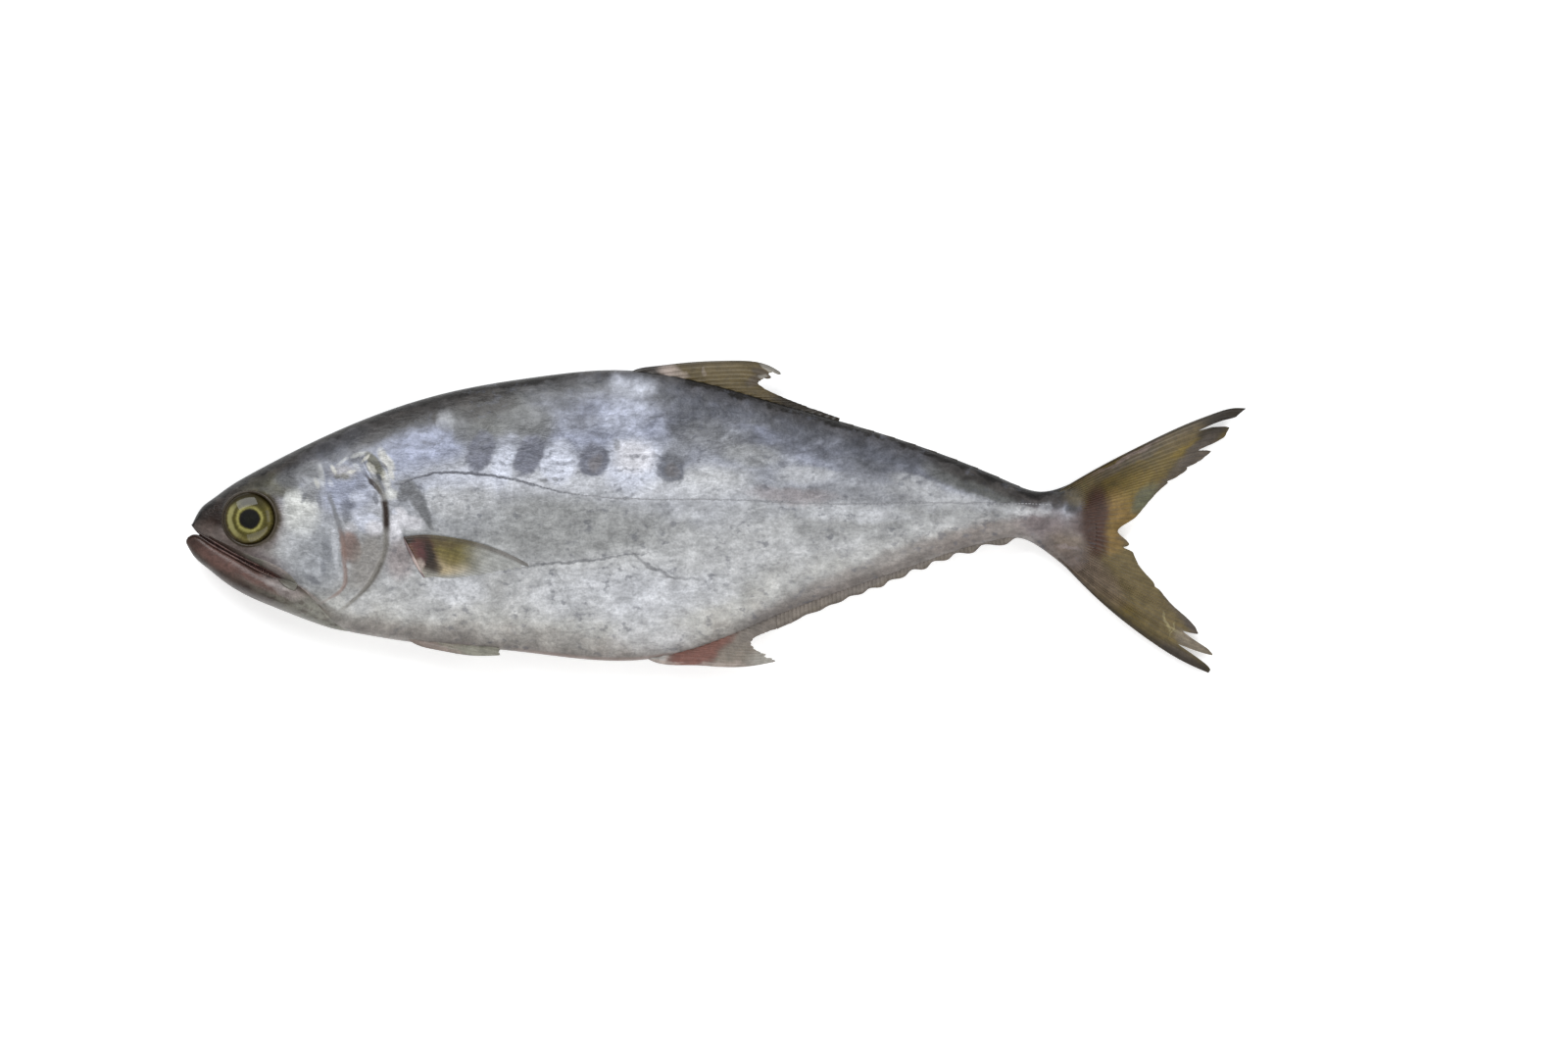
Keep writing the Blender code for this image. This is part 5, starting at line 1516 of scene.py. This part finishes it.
dorsal_edges = fin_edges(DORSAL_BASE, DORSAL_MARGIN, DORSAL_LEAD, DORSAL_LAST)
dorsal_paint = fin_paint(
    "dorsal web", "bark", DORSAL_DABS,
    (("dark", "across", 0.05, 0.0, 0.5), ("dark", "along", 0.20, 0.02, 0.9)), 20, 0.05,
)
keep_on_fish(make_blade_fin("dorsal_fin", dorsal_edges, 20, dorsal_paint, root=1.5 * MM, wear=0.06, seed=8))
anal_edges = fin_edges(ANAL_BASE, ANAL_MARGIN, ANAL_LEAD, ANAL_LAST)
anal_paint = fin_paint("anal web", "ash", ANAL_DABS, (), 19, 0.04)
keep_on_fish(make_blade_fin("anal_fin", anal_edges, 19, anal_paint, root=1.5 * MM, wear=0.06, seed=2))
pelvic_edges = fin_edges(PELVIC_BASE, PELVIC_MARGIN, PELVIC_LEAD, PELVIC_LAST)
pelvic_paint = fin_paint("pelvic web", "reed", PELVIC_DABS, (), 6, 0.05)
for word, side in SIDES:
    keep_on_fish(make_blade_fin(
        f"{word}_pelvic_fin", pelvic_edges, 6, pelvic_paint, root=1.3 * MM,
        offset=side * PELVIC_OFFSET, ripple=0.1 * MM, seed=3, columns=40,
    ))


# Finlets
# Behind the anal fin the web is cut into a row of ten low finlets, each a short swept blade
# with its own rays, and along the back a like row lies folded flat in a dark band.
FINLETS = 10
FINLET_ROOT = 3.5 * MM
# Where each finlet starts, how far the row hangs down there, and how much its blade adds, in mm.
FINLET_STEPS = (
    (250.0, 5.4, 0.4), (262.0, 4.2, 0.6), (271.5, 3.9, 0.7), (280.5, 3.1, 1.0),
    (289.0, 2.7, 1.4), (297.5, 2.3, 1.4), (307.0, 1.2, 1.8), (316.0, 1.0, 1.5),
    (325.5, 0.8, 2.1), (337.0, 0.6, 2.3), (351.5, 0.1, 0.0),
)
FINLETS_START_X, FINLETS_END_X = FINLET_STEPS[0][0] * MM, FINLET_STEPS[-1][0] * MM


def finlet_depth(x):
    """How far the row hangs below the belly: each finlet deepens backwards, then steps up."""
    starts, valleys, blades = np.array(FINLET_STEPS).T * MM
    i = np.clip(np.searchsorted(starts, x, side="right") - 1, 0, FINLETS - 1)
    share = np.clip((x - starts[i]) / (starts[i + 1] - starts[i]), 0, 1)
    blade = fade(share, 0.0, 0.62) * fade(share, 1.0, 0.66)
    return np.interp(x, starts, valleys) + blades[i] * blade


FINLET_DABS = (
    ("ash", (262, -41), (14, 5), 24, 0.6, 0.50),
    ("moss", (300, -28), (40, 3), 22, 0.6, 0.35),
)
finlet_paint = fin_paint("finlet web", "warm", FINLET_DABS, (("smoke", "along", 0.75, 1.0, 0.60),), 60, 0.03)


def make_finlets():
    x_line = np.linspace(FINLETS_START_X, FINLETS_END_X, 40 * FINLETS + 1)
    reach = np.maximum(finlet_depth(x_line), 0.1 * MM)
    along = np.linspace(0, 1, 26)[None, :]
    depth = -FINLET_ROOT + (reach[:, None] + FINLET_ROOT) * along
    lean = 0.8 * MM * (along - 0.6) * fade(along, 0.3, 1.0)
    x = x_line[:, None] + lean
    y = under(x_line)[:, None] - depth
    across = (x_line[:, None] - FINLETS_START_X) / (FINLETS_END_X - FINLETS_START_X) + 0 * along
    ridge = 1 + 0.12 * np.sin(2 * np.pi * 6 * FINLETS * across)
    half = (1.0 * MM * (1 - along) ** 0.8 + 0.2 * MM) * ridge
    z = mid_height(x)
    over, beneath = np.stack([x, y, z + half], -1), np.stack([x, y, z - half], -1)
    return add_sheet("anal_finlets", over, beneath, finlet_paint, {"across": across, "along": along + 0 * x})


def make_back_finlets():
    """Ten finlets folded flat along the back, each overlapping the next a little."""
    start, end = 274 * MM, 362 * MM
    x_line = np.linspace(start, end, 360)[:, None]
    place = (x_line - start) / (end - start)
    share = (place * FINLETS) % 1.0
    turn = np.linspace(0, 2 * np.pi, 24, endpoint=False)[None, :]
    ends = np.clip(np.minimum(place, 1 - place) * 30, 0.02, 1)
    swell = (0.75 + 0.35 * share**1.5) * ends
    y = back(x_line) - 0.9 * MM + 1.0 * MM * swell * np.cos(turn)
    z = mid_height(x_line) + 1.5 * MM * swell * (1 - 0.35 * place) * np.sin(turn)

    def measure(points):
        return {"across": np.full(len(points), 0.5), "along": np.full(len(points), 0.9)}

    return add_tube("back_finlets", np.stack([x_line + 0 * y, y, z], -1), back_paint, measure)


back_paint = fin_paint("folded back finlets", "dark", (), (), 10, 0.05)
keep_on_fish([make_finlets(), make_back_finlets()])


# Pectoral fins
# A short fin behind each gill cover, folded back along the flank: olive-yellow web with a
# dark upper ray, a maroon root and a pale frayed tip, on a pink fold of skin.
PECTORAL_LEAD = (
    (0.0926, -0.0073), (0.1000, -0.0064), (0.1096, -0.0070), (0.1254, -0.0102),
    (0.1378, -0.0149), (0.1482, -0.0203),
)
PECTORAL_BASE = ((0.0926, -0.0073), (0.0971, -0.0155), (0.1013, -0.0245))
PECTORAL_LAST = ((0.1013, -0.0245), (0.1090, -0.0256))
PECTORAL_MARGIN = ((0.1482, -0.0203), (0.1370, -0.0228), (0.1090, -0.0256))
PECTORAL_DABS = (
    ("cream", (109, -20), (11, 5), -12, 0.6, 0.90),
    ("leaf", (115, -13.8), (17, 4.2), -14, 0.7, 0.95),
    ("gold", (109, -14.5), (6, 3.0), -14, 0.8, 0.25),
    ("bark", (105, -9.6), (11, 1.8), -6, 0.5, 0.85),
    ("flank", (143, -20), (17, 7), -20, 0.7, 0.95),
    ("maroon", (101.5, -14), (4.4, 8), 24, 0.5, 0.98),
    ("dark", (103.2, -16.6), (3.0, 6), 20, 0.6, 0.85),
    ("wine", (97.8, -13.2), (2.8, 4.8), 26, 0.8, 0.60),
    ("blush", (99.4, -19.5), (1.9, 2.6), 20, 0.6, 0.90),
    ("dark", (94.5, -8.4), (3, 1.8), 0, 0.4, 0.90),
)
pectoral_paint = fin_paint(
    "pectoral web", "leaf", PECTORAL_DABS,
    (("flank", "along", 0.46, 0.92, 0.95), ("flank", "across", 0.66, 1.0, 0.80),
     ("smoke", "across", 0.09, 0.02, 0.65)), 14, 0.03,
)


def make_pectoral_fin(word, side):
    edges = fin_edges(PECTORAL_BASE, PECTORAL_MARGIN, PECTORAL_LEAD, PECTORAL_LAST)
    rays = 14
    fray = frayed(rays, 0.05, 6)

    def shape(across, along):
        flat = fan_points(edges, across, along * (1 - fray(across) * along**3))
        x, y = flat[..., 0], flat[..., 1]
        lift = (0.70 - 0.45 * along - 0.35 * across) * MM
        lift -= 0.45 * MM * np.maximum(fade(across, 0.80, 1.0), fade(along, 0.80, 1.0))
        z = mid_height(x) + side * (flank(x, y) + relief(x, y, side) + lift)
        return flat, np.maximum(z, 0.35 * MM)

    across, along = fan_grid(10 * rays + 1, 70)
    flat, z = shape(across, along)
    ridge = 1 + 0.2 * np.cos(2 * np.pi * rays * across + np.pi)
    half = 0.16 * MM * ridge
    over, beneath = np.dstack([flat, z + half]), np.dstack([flat, z - half])
    web = add_sheet(f"{word}_pectoral_web", over, beneath, pectoral_paint, {"across": across, "along": along})
    lines, radii, spots = [], [], []
    for ray in range(rays):
        middle = np.full(30, (ray + 0.5) / rays)
        run = np.linspace(0, 0.99, 30)
        points, height = shape(middle, run)
        lines.append(np.column_stack([points, height]))
        radii.append((0.28 - 0.27 * run) * (1.5 if ray == 0 else 0.8) * MM)
        spots.append(np.column_stack([middle, run]))
    return [web, add_fin_rays(f"{word}_pectoral_rays", lines, radii, spots, pectoral_paint)]


def fold_paint():
    paint = Paint("pink skin fold", 0.3, coat=0.4)
    flat, solid = paint.place()
    grain = paint.noise(solid, 1.2 * MM, detail=3.0)
    colour = paint.blend(grain, pigment(112, 92, 92), pigment(150, 134, 134))
    pale = paint.oval(flat, (98 * MM, -19 * MM), (3 * MM, 3 * MM), 0, 0.6)
    colour = paint.blend(pale, colour, pigment(196, 178, 172))
    return paint.finish(colour, ((grain, 0.2 * MM),))


def make_fin_folds(material):
    """The fold of skin along the root of each pectoral fin."""
    lines, radii = [], []
    run = np.linspace(0, 1, 40)
    for _, side in SIDES:
        flat = smooth_path(PECTORAL_BASE)(run)
        x, y = flat[:, 0] - 0.8 * MM * np.sin(np.pi * run), flat[:, 1]
        z = mid_height(x) + side * (flank(x, y) + relief(x, y, side) + 0.1 * MM)
        lines.append(np.stack([x, y, np.maximum(z, 0.9 * MM)], -1))
        radii.append((0.2 + 0.6 * np.sin(np.pi * run) ** 0.6) * MM)
    return add_rods("pectoral_folds", lines, radii, material, sides=14)


for word, side in SIDES:
    keep_on_fish(make_pectoral_fin(word, side))
keep_on_fish([make_fin_folds(fold_paint())])


# Floor, light and camera
# A plain pale floor under the fish that also glows faintly, which lifts the shadows on it, broad soft light,
# and a camera that looks straight down.
FLOOR_GAP = 0.3 * MM
CAMERA_HEIGHT, FRAME_WIDTH, SENSOR = 5.0, 0.6642, 36.0
CAMERA_X, CAMERA_Y = 0.0282, -0.0032


def floor_paint():
    paint = Paint("pale floor", 0.7)
    # The floor glows faintly as well as reflecting light, which lifts the fish's shadow on it and lights the
    # fish a little from below.
    paint.feed(paint.shader.inputs["Emission Color"], (1.0, 1.0, 1.0, 1.0))
    paint.feed(paint.shader.inputs["Emission Strength"], 0.40)
    _, solid = paint.place()
    mottle = paint.noise(solid, 60 * MM, detail=2.0)
    colour = paint.blend(mottle, (0.90, 0.90, 0.90, 1.0), (0.93, 0.93, 0.93, 1.0))
    return paint.finish(colour)


bpy.ops.mesh.primitive_plane_add(size=8.0, location=(0, 0, -FLOOR_GAP))
floor = bpy.context.object
floor.name = "floor"
floor.data.materials.append(floor_paint())


def add_light(name, place, size, power, colour):
    lamp = bpy.data.lights.new(name, "AREA")
    lamp.shape, lamp.size, lamp.size_y = "RECTANGLE", *size
    lamp.energy, lamp.color = power, colour
    light = bpy.data.objects.new(name, lamp)
    light.location = place
    aim = np.array((0.0, 0.0, 0.0)) - np.array(place)
    light.rotation_euler = Vector(aim).to_track_quat("-Z", "Y").to_euler()
    bpy.context.scene.collection.objects.link(light)


add_light("window", (-0.5, 1.3, 1.5), (1.6, 1.0), 30, (0.97, 0.99, 1.0))
add_light("far wall", (0.5, -1.4, 1.4), (2.0, 1.2), 21, (1.0, 0.99, 0.97))
add_light("side wall", (1.6, 0.3, 1.2), (1.0, 1.6), 11, (1.0, 1.0, 1.0))

scene = bpy.context.scene
scene.world = bpy.data.worlds.new("soft daylight")
scene.world.use_nodes = True
sky = scene.world.node_tree.nodes["Background"]
sky.inputs["Color"].default_value = (0.97, 0.98, 1.0, 1.0)
sky.inputs["Strength"].default_value = 0.28
scene.view_settings.view_transform = "Standard"

camera = bpy.data.objects.new("camera", bpy.data.cameras.new("camera"))
camera.location = (CAMERA_X, CAMERA_Y, REST_HEIGHT + CAMERA_HEIGHT)
camera.data.sensor_width = SENSOR
camera.data.lens = SENSOR * CAMERA_HEIGHT / FRAME_WIDTH
camera.data.clip_start, camera.data.clip_end = 0.1, 20.0
scene.collection.objects.link(camera)
scene.camera = camera
